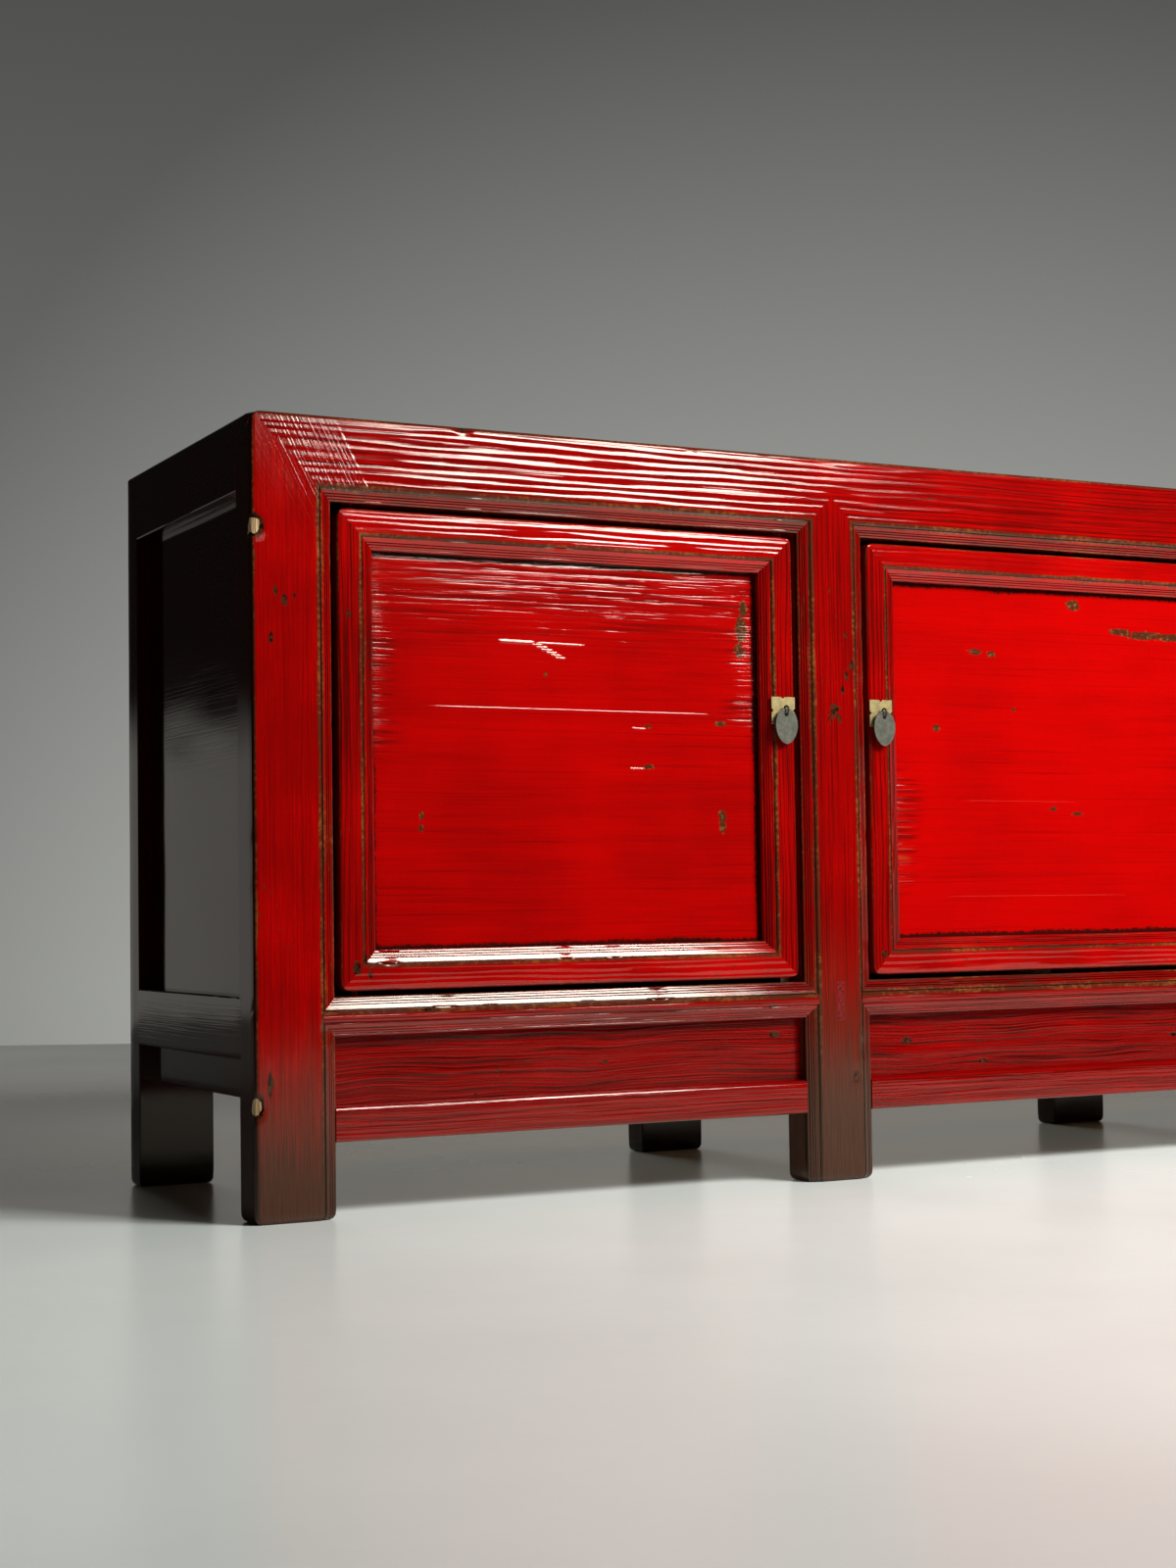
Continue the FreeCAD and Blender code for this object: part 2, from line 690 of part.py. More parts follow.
def make_pull(bay, name):
    """Brass plate, split pin with an eye, and the leaf-shaped drop that hangs in the eye."""
    x = pull_x(bay)
    plate_y = ("(door_set - plate_thickness)", "door_set")
    plate_x = about(x, "plate_size")
    plate_z = about("pull_height", "plate_size")
    notch_places = [(side, "pull_height") for side in plate_x] + [(x, side) for side in plate_z]
    notches = [diamond("y", (notch_x, plate_y[0], notch_z), "plate_thickness", "notch_depth")
               for notch_x, notch_z in notch_places]
    hole = rod("y", (x, plate_y[0], "pull_height"), "plate_thickness", "shank_radius + shank_clearance")
    node(f"{name}_pull_plate", carve(block(plate_x, plate_y, plate_z), *notches, hole))

    eye_y = "(door_set - plate_thickness - eye_clearance - eye_radius - wire_radius)"
    eye = doc.addObject("Part::Torus", "Eye")
    eye.setExpression("Radius1", bound("eye_radius"))
    eye.setExpression("Radius2", bound("wire_radius"))
    eye.Placement = FreeCAD.Placement(FreeCAD.Vector(), ALONG["x"])
    place(eye, x, eye_y, "pull_height")
    shank_start = f"({eye_y} + eye_radius)"
    shank = rod("y", (x, shank_start, "pull_height"), f"{DOOR_BACK} + clench_thickness - {shank_start}",
                "shank_radius")
    clench = block(about(x, "clench_length"), thick(DOOR_BACK, "clench_thickness"),
                   about("pull_height", "clench_width"))
    node(f"{name}_pull_pin", join(eye, shank, clench))

    bar_bottom = "(pull_height - eye_radius + wire_radius + drop_clearance)"
    top = f"({bar_bottom} + drop_bar)"
    widest = f"({top} - drop_widest)"
    half = "(drop_width / 2)"
    lower = "(drop_height - drop_widest)"
    leaf_radius = f"(({lower} * {lower} + {half} * {half}) / drop_width)"
    start_y = f"({eye_y} - drop_thickness / 2)"
    crown_z = f"({top} - drop_top_radius)"

    def disc(disc_x, disc_z, radius):
        return rod("y", (disc_x, start_y, disc_z), "drop_thickness", radius)

    sides = [disc(f"({x} {sign} ({leaf_radius} - {half}))", widest, leaf_radius) for sign in "+-"]
    crown = disc(x, crown_z, "drop_top_radius")
    below = block(about(x, "2 * drop_top_radius"), thick(start_y, "drop_thickness"),
                  (f"({top} - drop_height)", crown_z))
    drop_hole = disc(x, f"({bar_bottom} - drop_hole_radius)", "drop_hole_radius")
    node(f"{name}_pull_drop", carve(shared(*sides, join(crown, below)), drop_hole))


def check_model():
    """Stop if any object failed or any piece is empty or broken."""
    failed = [item.Label for item in doc.Objects if {"Invalid", "Error"} & set(item.State)]
    broken = [label for label, piece in nodes.items() if piece.Shape.isNull() or not piece.Shape.isValid()]
    if failed or broken:
        raise RuntimeError(f"failed objects: {failed}, broken pieces: {broken}")


fill_sheet()
make_carcass()
for bay_number in range(BAYS):
    make_door(bay_number)
doc.recompute()
check_model()
os.makedirs(OUTPUT, exist_ok=True)
for node_label, piece_object in nodes.items():
    piece_object.Shape.exportStep(f"{OUTPUT}/{node_label}.step")
print(len(nodes), "pieces written")
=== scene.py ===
import json
import math

import bmesh
import bpy
from mathutils import Matrix, Vector, noise


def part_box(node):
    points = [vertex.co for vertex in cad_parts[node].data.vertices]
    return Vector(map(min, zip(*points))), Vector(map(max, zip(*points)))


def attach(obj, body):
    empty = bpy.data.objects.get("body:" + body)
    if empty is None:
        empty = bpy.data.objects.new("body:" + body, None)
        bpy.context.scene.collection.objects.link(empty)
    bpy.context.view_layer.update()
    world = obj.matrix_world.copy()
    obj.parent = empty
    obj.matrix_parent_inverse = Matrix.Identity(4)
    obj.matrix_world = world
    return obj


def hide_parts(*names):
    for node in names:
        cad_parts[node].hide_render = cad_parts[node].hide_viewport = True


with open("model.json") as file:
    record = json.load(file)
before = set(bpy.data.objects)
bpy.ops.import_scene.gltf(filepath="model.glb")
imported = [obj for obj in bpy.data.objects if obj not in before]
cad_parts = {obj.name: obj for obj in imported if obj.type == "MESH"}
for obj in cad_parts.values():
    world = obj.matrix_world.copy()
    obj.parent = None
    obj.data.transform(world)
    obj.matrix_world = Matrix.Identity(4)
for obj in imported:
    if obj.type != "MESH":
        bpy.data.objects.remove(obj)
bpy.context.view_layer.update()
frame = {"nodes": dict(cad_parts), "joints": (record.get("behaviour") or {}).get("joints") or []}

# Front posts: four softwood posts that run down to the floor as the front legs. They were planed
# square, and a lip, a bead and a fillet were worked along every edge that faces a door.
# Corner posts end in a mitre under the top frame, middle posts in a point let into the top rail.

MM = 0.001
X_AXIS = Vector((1, 0, 0))
Y_AXIS = Vector((0, 1, 0))
Z_AXIS = Vector((0, 0, 1))
# The way along a member, the way across its face and the way into it.
UPRIGHT = (Z_AXIS, X_AXIS, Y_AXIS)
LEVEL = (X_AXIS, Z_AXIS, Y_AXIS)
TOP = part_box("top_rail_front")[1].z
OPENING_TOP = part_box("top_rail_front")[0].z
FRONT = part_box("front_post_1")[0].y

# A worked edge, from the opening inwards: distance, depth, wear and grime.
WORKED_EDGE = (
    (0.0, 10.0, 0.0, 0.9), (0.1, 8.2, 0.9, 0.3), (0.5, 7.35, 0.9, 0.0), (0.9, 7.1, 0.8, 0.0),
    (2.2, 6.55, 0.5, 0.1), (2.7, 6.75, 0.3, 1.0), (3.2, 5.75, 0.4, 0.6), (3.6, 5.55, 0.45, 0.1),
    (4.9, 5.0, 0.45, 0.0), (5.2, 5.25, 0.3, 1.0), (5.8, 5.2, 0.3, 1.0), (6.2, 4.55, 0.45, 0.1),
    (7.5, 4.0, 0.45, 0.0), (7.8, 4.25, 0.3, 1.0), (8.3, 4.2, 0.3, 1.0), (8.7, 3.55, 0.45, 0.1),
    (11.3, 2.46, 0.6, 0.05),
    (12.7, 1.9, 1.0, 0.3), (13.3, 1.9, 0.8, 0.9), (13.8, 2.2, 0.4, 1.0), (14.4, 1.7, 0.9, 0.5),
    (14.9, 0.9, 1.2, 0.1), (15.5, 0.2, 1.3, 0.0), (16.5, 0.0, 1.2, 0.0), (18.0, 0.0, 0.85, 0.0),
    (20.0, 0.0, 0.25, 0.0), (23.0, 0.0, 0.0, 0.0),
)


def in_metres(edge):
    """An edge written in millimetres, in the frame's metres."""
    return [(distance * MM, depth * MM, wear, grime) for distance, depth, wear, grime in edge]


def round_edge(radius, wear, grime=0.0):
    """An edge planed round, from the side of a member to its face."""
    points = []
    for step in range(6):
        turn = step / 5 * math.pi / 2
        rub = math.sin(2 * turn)
        distance = radius * (1 - math.cos(turn))
        points.append((distance, radius * (1 - math.sin(turn)), wear * rub, grime * rub))
    return points


def spread(first, last, step):
    """Places between two points, about a step apart and one of them halfway, without the two."""
    count = 2 * max(1, round(abs(last - first) / (2 * step)))
    return [first + (last - first) * place / count for place in range(1, count)]


BACK_EASE = 1.5 * MM
BACK_WEAR = 0.4
SIDE_STEP = 12 * MM


def section(width, depth, left, right, step=5 * MM):
    """Closed section of a member: its face from left to right, then right side, back and left side."""
    flat = depth - 2 * BACK_EASE
    shoulder = depth - BACK_EASE
    points = list(left)
    points += [(place, 0.0, 0.0, 0.0) for place in spread(left[-1][0], width - right[-1][0], step)]
    points += [(width - distance, down, wear, grime) for distance, down, wear, grime in reversed(right)]
    points += [(width, down, 0.0, 0.0) for down in spread(right[0][1], flat, SIDE_STEP)]
    points += [(width, flat, 0.0, 0.0), (width, shoulder, BACK_WEAR, 0.0)]
    points.append((width - BACK_EASE, depth, BACK_WEAR, 0.0))
    points += [(place, depth, 0.0, 0.0) for place in spread(width - BACK_EASE, BACK_EASE, SIDE_STEP)]
    points += [(BACK_EASE, depth, BACK_WEAR, 0.0), (0.0, shoulder, BACK_WEAR, 0.0), (0.0, flat, 0.0, 0.0)]
    points += [(0.0, down, 0.0, 0.0) for down in spread(flat, left[0][1], SIDE_STEP)]
    return points


def square(place):
    """An end sawn square at a place along a member."""
    return lambda a, b: place


def clamp(value, low=0.0, high=1.0):
    """A value, or the nearer of two bounds where it lies outside them."""
    return min(max(value, low), high)


END_ROWS = (0.0, 1.2 * MM, 3 * MM, 6 * MM)
END_MARGIN = 0.3
JOINT_REACH = 20 * MM
PLANE_WANDER = 0.3 * MM
RAISED_DEPTH = 1 * MM
RAISED_REACH = 140 * MM
FAR_LEFT = -9.0
BITTEN_WEAR = 0.4
DEEPEST_BITE = 2.2 * MM
FOOT_DRAW = 0.6
SHAPED_DEPTH = 2 * MM
KNOCKED_DEPTH = 6 * MM
BARED = 5.0
MARKS = ("wear", "grime", "bruise", "tooled")


def stick(outline, corner, axes, start, end, spacing=6 * MM, seed=0.0, dents=(), chips=(), surface=None,
          foot=0.0, raised=0.0, ring_width=12 * MM, raised_from=FAR_LEFT):
    """One wooden member: a section drawn along its run between two shaped ends, with the small
    wander of a hand plane, grain raised a little between its yearly rings from some place on, bites
    out of its worn edges, and knocks as dents and chips. In each noise call the factors set how long
    and wide the unevenness is, and those of the seed keep members apart."""
    run, across, inward = axes
    knocks = [(*dent, 1.0) for dent in dents] + [(*chip, BARED) for chip in chips]
    shift_along = seed * 7.31
    shift_across = seed * 3.17
    starts = [start(a, b) for a, b, _, _ in outline]
    ends = [end(a, b) for a, b, _, _ in outline]
    length = max(ends) - min(starts)
    rows = list(END_ROWS) + spread(END_ROWS[-1], length - END_ROWS[-1], spacing)
    shares = [place / length for place in rows] + [1 - place / length for place in reversed(END_ROWS)]
    count = len(outline)
    paths = [corner.dot(across) + outline[0][0] - outline[0][1]]
    normals = []
    for j in range(count):
        here, after, before = outline[j], outline[(j + 1) % count], outline[j - 1]
        paths.append(paths[-1] + abs(after[0] - here[0]) + abs(after[1] - here[1]))
        normals.append(Vector((after[1] - before[1], before[0] - after[0])).normalized())
    middle_a = sum(point[0] for point in outline) / count
    middle_b = sum(point[1] for point in outline) / count
    made = {"points": [], "faces": [], "grain": [], **{mark: [] for mark in MARKS}}
    for share in shares:
        for j, (a, b, wear, grime) in enumerate(outline):
            rise = (ends[j] - starts[j]) * share
            u = starts[j] + rise
            joint = min(1.0, rise / JOINT_REACH, (ends[j] - u) / JOINT_REACH)
            along = corner.dot(run) + u
            wander = noise.noise(Vector((along * 7 + seed * 13.7, paths[j] * 18, seed)))
            offset = PLANE_WANDER * joint * wander
            if raised and b < RAISED_DEPTH:
                bend = 0.8 * noise.noise(Vector((along * 3.1, paths[j] * 9, seed * 4.7)))
                ringed = Vector((along * 1.9 + seed * 2.9, paths[j] / ring_width + bend, seed * 1.7))
                rings = noise.noise(ringed)
                come_in = clamp((along - raised_from) / RAISED_REACH)
                offset += raised * joint * come_in * (rings + 0.5 * abs(rings) - 0.3)
            if wear > BITTEN_WEAR:
                bite = noise.noise(Vector((u * 33 + seed * 5.1, a * 12, seed * 3.3))) - 0.32
                offset -= max(0.0, bite) * wear * joint * DEEPEST_BITE
            if rise < foot:
                inset = FOOT_DRAW * (foot - math.sqrt(foot ** 2 - (foot - rise) ** 2))
                a += math.copysign(min(inset, abs(middle_a - a)), middle_a - a)
                b += math.copysign(min(inset, abs(middle_b - b)), middle_b - b)
            sunk, tooled, soiled = surface(u, a) if surface and b < SHAPED_DEPTH else (0.0, 0.0, 0.0)
            place = (corner + run * u + across * (a + normals[j].x * offset)
                     + inward * (b + normals[j].y * offset + sunk))
            bruise = 0.0
            for knock_x, knock_z, half_x, half_z, deepest, bares in knocks:
                far = ((place.x / MM - knock_x) / half_x) ** 2 + ((place.z / MM - knock_z) / half_z) ** 2
                if far < 1 and b < KNOCKED_DEPTH:
                    bruise = max(bruise, (1 - math.sqrt(far)) * bares)
                    place = place + inward * (deepest * MM * (1 - far))
            made["points"].append(place)
            for mark, value in zip(MARKS, (wear, max(grime, soiled), bruise, tooled)):
                made[mark].append(value)
    handed = run.dot(across.cross(inward)) > 0
    for i in range(len(shares) - 1):
        for j in range(count):
            following = (j + 1) % count
            face = [i * count + j, i * count + following, (i + 1) * count + following, (i + 1) * count + j]
            corners = []
            for index, side in zip(face, (paths[j], paths[j + 1], paths[j + 1], paths[j])):
                corners.append((made["points"][index].dot(run) + shift_along, side + shift_across))
            made["faces"].append(face if handed else face[::-1])
            made["grain"] += corners if handed else corners[::-1]
    last = (len(shares) - 1) * count
    for edge, shaped, forward in ((0, start, not handed), (last, end, handed)):
        cap = len(made["points"])
        for a, b, _, _ in outline:
            a += (middle_a - a) * END_MARGIN
            b += (middle_b - b) * END_MARGIN
            made["points"].append(corner + run * shaped(a, b) + across * a + inward * b)
            for mark in MARKS:
                made[mark].append(0.0)
        faces = [[edge + j, edge + (j + 1) % count, cap + (j + 1) % count, cap + j] for j in range(count)]
        faces.append(list(range(cap, cap + count)))
        for face in faces:
            face = face if forward else face[::-1]
            made["faces"].append(face)
            for index in face:
                place = made["points"][index] - corner
                made["grain"].append((place.dot(across) + shift_along, place.dot(inward) + shift_across))
    return made


def put(name, data):
    """A new thing in the scene."""
    thing = bpy.data.objects.new(name, data)
    bpy.context.scene.collection.objects.link(thing)
    return thing


def hang(piece, body, node):
    """Let a piece move with its body in place of a solid."""
    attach(piece, body)
    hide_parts(node)


SHARP_ANGLE = math.radians(21)


def lay_up(node, sticks, finish, body="carcass", name=None):
    """Make one lacquered piece from its members and hang it on its body in place of its solid."""
    name = name or f"{node}_worked"
    points, faces, grain = [], [], []
    marks = {mark: [] for mark in MARKS}
    for made in sticks:
        shift = len(points)
        points += made["points"]
        faces += [[index + shift for index in face] for face in made["faces"]]
        grain += made["grain"]
        for mark, values in marks.items():
            values += made[mark]
    mesh = bpy.data.meshes.new(name)
    mesh.from_pydata(points, [], faces)
    layer = mesh.uv_layers.new(name="grain")
    layer.data.foreach_set("uv", [number for pair in grain for number in pair])
    for mark, values in marks.items():
        mesh.attributes.new(mark, "FLOAT", "POINT").data.foreach_set("value", values)
    mesh.shade_smooth()
    mesh.set_sharp_from_angle(angle=SHARP_ANGLE)
    mesh.materials.append(finish)
    hang(put(name, mesh), body, node)


class Result:
    """What a node of a finish gives. Sums, products and the like of results add nodes."""

    def __init__(self, finish, socket):
        self.finish = finish
        self.socket = socket

    def reckon(self, operation, first, second=0.0):
        return self.finish.make("Math", {0: first, 1: second}, operation=operation)

    def __add__(self, other):
        return self.reckon("ADD", self, other)

    def __sub__(self, other):
        return self.reckon("SUBTRACT", self, other)

    def __rsub__(self, other):
        return self.reckon("SUBTRACT", other, self)

    def __mul__(self, other):
        return self.reckon("MULTIPLY", self, other)

    def __abs__(self):
        return self.reckon("ABSOLUTE", self)

    def wave(self):
        return self.reckon("SINE", self)

    def most(self, other):
        """The greater of two."""
        return self.reckon("MAXIMUM", self, other)

    def ease(self, low, high):
        """0 at low, 1 at high, with a soft start and end."""
        inputs = {"Value": self, "From Min": low, "From Max": high, "To Min": 0.0, "To Max": 1.0}
        return self.finish.make("MapRange", inputs, interpolation_type="SMOOTHSTEP")

    def parts(self):
        """The three parts of a place or a direction."""
        return [Result(self.finish, socket) for socket in self.finish.add("SeparateXYZ", {0: self}).outputs]


class Finish:
    """A material, or the world, in the making: calls add nodes, and plain values go on their sockets."""

    def __init__(self, name, makes=bpy.data.materials):
        self.material = makes.new(name)
        self.material.use_nodes = True
        self.tree = self.material.node_tree
        self.tree.nodes.clear()

    def add(self, kind, inputs, **settings):
        node = self.tree.nodes.new("ShaderNode" + kind)
        for setting, value in settings.items():
            setattr(node, setting, value)
        for key, value in inputs.items():
            if isinstance(value, Result):
                self.tree.links.new(value.socket, node.inputs[key])
            else:
                node.inputs[key].default_value = value
        return node

    def make(self, kind, inputs, output=0, **settings):
        """Add a node and give one of its results."""
        return Result(self, self.add(kind, inputs, **settings).outputs[output])

    def grain(self):
        """A place along and across the wood, in metres."""
        return self.make("UVMap", {}, uv_map="grain")

    def place(self):
        """A place in the frame, in metres."""
        return self.make("TexCoord", {}, "Object")

    def mark(self, name):
        return self.make("Attribute", {}, "Fac", attribute_name=name)

    def blend(self, share, first, second):
        return self.make("Mix", {0: share, 6: first, 7: second}, 2, data_type="RGBA")

    def cloud(self, place, scale, detail=2.0, warp=0.0):
        """Noise over a place, stretched by a scale for each axis."""
        spot = self.make("VectorMath", {0: place, 1: scale}, operation="MULTIPLY")
        return self.make("TexNoise", {"Vector": spot, "Scale": 1.0, "Detail": detail, "Distortion": warp})

    def waves(self, grain, step, drift, scale, detail):
        """Waves along the grain, a step apart, that drift with a cloud."""
        turn = grain.parts()[1] * (math.tau / step) + self.cloud(grain, scale, detail) * drift
        return turn.wave()

    def close(self, colour, roughness, height, **sockets):
        """Finish with a surface of that colour, roughness and relief, in metres."""
        relief = self.make("Bump", {"Height": height, "Strength": 1.0, "Distance": 1.0})
        inputs = {"Base Color": colour, "Roughness": roughness, "Normal": relief}
        self.add("OutputMaterial", {"Surface": self.make("BsdfPrincipled", {**inputs, **sockets})})
        return self.material


STROKE_LEAN = 0.515
STROKE_EDGE = -526 * MM
BRIGHT_RED = (0.42, 0.0006, 0.0004, 1)
DEEP_RED = (0.215, 0.0008, 0.0006, 1)
SEAM_RED = (0.05, 0.0015, 0.001, 1)
# Near-black red used as painted shade on the faces towards the ends and behind the front.
SIDE_SHADE_RED = (0.013, 0.0008, 0.0006, 1)
OCHRE = (0.19, 0.066, 0.016, 1)
BROWN = (0.06, 0.016, 0.006, 1)
SOOT = (0.006, 0.0025, 0.002, 1)
FOOT_BROWN = (0.052, 0.022, 0.011, 1)
VARNISH_TINT = (1.0, 0.9, 0.76, 1)
PALE_WOOD = (0.72, 0.53, 0.28, 1)


def lacquer(name, ridge, spacing, shade=0.0, lined=0.5, foot=0.0, painted_end_shade=0.0, brushed=0.0, wavy=0.0,
            rings=0.0, cut=0.1, gloss=0.5, even=False):
    """Red lacquer over raised grain: ridges and dark lines along the wood, wear on the edges, grime
    in the grooves, bruises and chips where it was knocked. A foot height browns the lower part of a
    leg, the end shade paints the faces towards the ends of the sideboard and those behind its front
    nearly black as painted shade, though faces on top stay red, and brushed adds the strokes of a
    later coat over the upper left corner. Rings draw the yearly rings as lines that far apart, and cut
    is how deep the lines are. Even ridges follow the rings as long waves. Ridges, spacing, waves, rings
    and cut are in mm."""
    finish = Finish(name)
    grain = finish.grain()
    if wavy:
        swell = finish.cloud(grain, (3.5, 9, 1)) - 0.5
        sway = finish.make("CombineXYZ", {1: swell * (wavy * MM)})
        grain = finish.make("VectorMath", {0: grain, 1: sway}, operation="ADD")
    place = finish.place()
    x, y, z = place.parts()
    fibre = finish.cloud(grain, (20, 700, 1), detail=3)
    lines = finish.cloud(grain, (5, 400, 1), detail=4, warp=0.3)
    ridges = finish.cloud(grain, (18 / spacing, 1000 / spacing, 1), detail=2.5, warp=0.6)
    if even:
        strong = finish.cloud(grain, (6, 60, 1)).ease(0.3, 0.55)
        ridges = finish.waves(grain, spacing * MM, 11, (3, 45, 1), 2) * strong * 0.5 + ridges * 0.25
    broad = finish.cloud(grain, (2.2, 45, 1), detail=3)
    patches = finish.cloud(place, (9, 9, 9), detail=4)
    crumbs = finish.cloud(place, (210, 210, 210), detail=3)
    tone = fibre * 0.5 + broad * 0.35 + patches * 0.6 - (0.22 + shade)
    red = finish.blend(tone.ease(0.28, 0.72), DEEP_RED, BRIGHT_RED)
    drawn = (lines + broad * 0.3).ease(0.60, 0.80) * fibre.ease(0.25, 0.5) * lined
    if rings:
        thin = finish.waves(grain, rings * MM, 14, (2.5, 70, 1), 3).ease(0.6, 0.95)
        drawn = drawn.most(thin * finish.cloud(grain, (4, 60, 1)).ease(0.25, 0.5) * (0.95 * lined))
    red = finish.blend(drawn, red, SEAM_RED)
    coarse = finish.cloud(grain, (9, 40, 1), detail=3)
    uneven = finish.cloud(grain, (34, 190, 1), detail=4) * 0.6 + coarse * 0.6 - 0.1
    wear = finish.mark("wear")
    worn = (wear + uneven * 1.6 - 0.8).ease(0.4, 0.95)
    bare = finish.blend((crumbs * 0.5 + patches * 0.5).ease(0.47, 0.64), BROWN, OCHRE)
    red = finish.blend(worn * 0.85, red, bare)
    flecks = finish.cloud(grain, (90, 210, 1), detail=1).ease(0.68, 0.74) * patches.ease(0.52, 0.62)
    red = finish.blend(flecks * 0.85, red, BROWN)
    height = (ridges * (ridge * MM) - lines * (cut * lined * MM) - drawn * (1.2 * cut * MM)
              + fibre * ((0.05 if even else 0.02) * MM))
    height = height * (1.0 - wear.ease(0.1, 0.25) * 0.85)
    if brushed:
        slant = x + z * STROKE_LEAN
        strokes = finish.cloud(finish.make("CombineXYZ", {0: slant, 2: z}), (300, 1, 5), detail=3)
        near = (slant.ease(STROKE_EDGE, STROKE_EDGE - 3 * MM)
                * slant.ease(STROKE_EDGE - 150 * MM, STROKE_EDGE - 30 * MM) * z.ease(0.64, 0.77))
        height = height * (1.0 - near * 0.85) + strokes * near * (brushed * MM)
    height = height + finish.cloud(grain, (9, 16, 1)) * (0.6 * MM)
    rubbed = 0.0
    if foot:
        low = z + finish.cloud(grain, (5, 60, 1), detail=3) * 0.12 - 0.06
        rubbed = low.ease(foot, 0.15 * foot)
        aged = finish.blend(fibre.ease(0.3, 0.6) * 0.4 + 0.6, SOOT, FOOT_BROWN)
        red = finish.blend(rubbed * 0.96, red, aged)
    # Painted shade: faces turned towards the ends, and every face behind the front, are drawn nearly black;
    # lit faces on top stay red.
    if painted_end_shade:
        facing = finish.make("NewGeometry", {}, "Normal").parts()
        shaded_faces = abs(facing[0]).ease(0.5, 0.92).most(y.ease(FRONT + 60 * MM, FRONT + 90 * MM))
        on_top = facing[2].ease(0.6, 0.9) * z.ease(OPENING_TOP, TOP - 5 * MM)
        shaded_faces = shaded_faces * (1.0 - on_top)
        red = finish.blend(shaded_faces * painted_end_shade, red, SIDE_SHADE_RED)
        height = height * (1.0 - shaded_faces * 0.85)
    bruise = finish.mark("bruise")
    bruised = (bruise * (crumbs + 0.1)).ease(0.18, 0.3)
    red = finish.blend(bruised, red, finish.blend(crumbs.ease(0.4, 0.6), SOOT, BROWN))
    chipped = (bruise * (crumbs + 0.5)).ease(1.5, 1.8)
    red = finish.blend(chipped, red, finish.blend(fibre.ease(0.35, 0.6), OCHRE, PALE_WOOD))
    dirty = (finish.mark("grime") + uneven * 0.8 - 0.4).ease(0.35, 0.8)
    red = finish.blend(dirty * 0.93, red, SOOT)
    roughness = fibre * 0.05 + patches * 0.04 + worn * 0.05 + chipped * 0.5 + rubbed * 0.06 + 0.03
    height = height - bruised * (0.04 * MM) - worn * (0.01 * MM)
    shine = {"Specular IOR Level": gloss, "Specular Tint": VARNISH_TINT}
    return finish.close(red, roughness, height, **shine)


BLOCK_LOW = Vector((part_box("front_post_1")[0].x, FRONT, -1))
BLOCK_HIGH = Vector((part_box("front_post_4")[1].x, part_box("rear_post_1")[1].y, TOP))
BLOCK_ROUNDING = 5 * MM
SHOULDER_ROUNDING = 15 * MM
SHOULDER_DEPTH = 20 * MM


def ease_block(made):
    """Round the outer edges of the whole frame over the joints, and its front corners most, as a
    plane and use did."""
    inset = Vector((BLOCK_ROUNDING, BLOCK_ROUNDING, BLOCK_ROUNDING))
    inner_low = BLOCK_LOW + inset
    inner_high = BLOCK_HIGH - inset
    for index, place in enumerate(made["points"]):
        core = Vector(clamp(*bounded) for bounded in zip(place, inner_low, inner_high))
        away = place - core
        if away.length > BLOCK_ROUNDING:
            place = core + away.normalized() * BLOCK_ROUNDING
        share = clamp((place.y - FRONT) / SHOULDER_DEPTH)
        rounding = SHOULDER_ROUNDING + (BLOCK_ROUNDING - SHOULDER_ROUNDING) * share
        shoulder_x = clamp(place.x, BLOCK_LOW.x + rounding, BLOCK_HIGH.x - rounding)
        out = Vector((place.x - shoulder_x, 0, max(place.z - (TOP - rounding), 0)))
        if out.length > rounding:
            place = place + out.normalized() * (rounding - out.length)
        made["points"][index] = place
    return made


# Each knock: its place across and up, half its width and height, and its depth, in mm.
POST_DENTS = (
    (-1022.8, 650.5, 6, 11, 0.3), (-1031, 660, 5, 9, 0.3), (-1038.3, 610.6, 5, 12, 0.3),
    (-1010, 655, 4, 9, 0.2), (-313, 604, 5, 12, 0.2), (-320, 592, 5, 11, 0.2), (-327, 576, 5, 10, 0.2),
    (-338, 552, 12, 10, 0.3), (-331, 540, 6, 8, 0.2), (-346, 538, 6, 9, 0.2), (-322, 640, 4, 6, 0.2),
    (-345, 690, 4, 6, 0.2), (-330, 662, 4, 6, 0.2), (-318, 120, 8, 14, 0.2), (-1042, 145, 6, 26, 0.2),
    (350, 520, 5, 9, 0.3), (1020, 580, 4, 8, 0.3),
)
POST_CHIPS = ((-1055, 728, 10, 13, 3.0), (-1057, 122, 8, 13, 2.5), (1052, 400, 8, 10, 2.5))
FOOT_ROUNDING = 9 * MM
# Corner and rear posts take the end shade: their faces towards the ends and behind the front are painted
# shade, near black.
post_lacquer = lacquer("post_lacquer", ridge=0.2, spacing=4, shade=0.08, lined=0.35, foot=0.22,
                       painted_end_shade=0.95, brushed=0.7, wavy=6, gloss=0.35)
middle_lacquer = lacquer("middle_post_lacquer", ridge=0.2, spacing=4, shade=0.14, lined=0.7, foot=0.34,
                         wavy=6, gloss=0.35)
worked = in_metres(WORKED_EDGE)
outer = round_edge(5 * MM, wear=1.1, grime=0.35)
posts = [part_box(f"front_post_{number}") for number in range(1, 5)]
for number, (low, high) in enumerate(posts, start=1):
    width = high.x - low.x

    def post_top(a, b):
        if number == 1:
            return TOP - max(a, b)
        if number == 4:
            return TOP - max(width - a, b)
        return OPENING_TOP + min(a, width - a)

    outline = section(width, high.y - low.y, outer if number == 1 else worked,
                      outer if number == 4 else worked)
    post = stick(outline, Vector((low.x, low.y, 0)), UPRIGHT, square(0.0), post_top, seed=number,
                 dents=POST_DENTS, chips=POST_CHIPS, foot=FOOT_ROUNDING)
    finish = post_lacquer if number in (1, 4) else middle_lacquer
    lay_up(f"front_post_{number}", [ease_block(post)], finish)

# Rear posts: four plain posts behind the front ones, which carry the back and are the rear legs.
# They are square-edged but for the rounded outer corners, and mitred to the top frame at the ends.

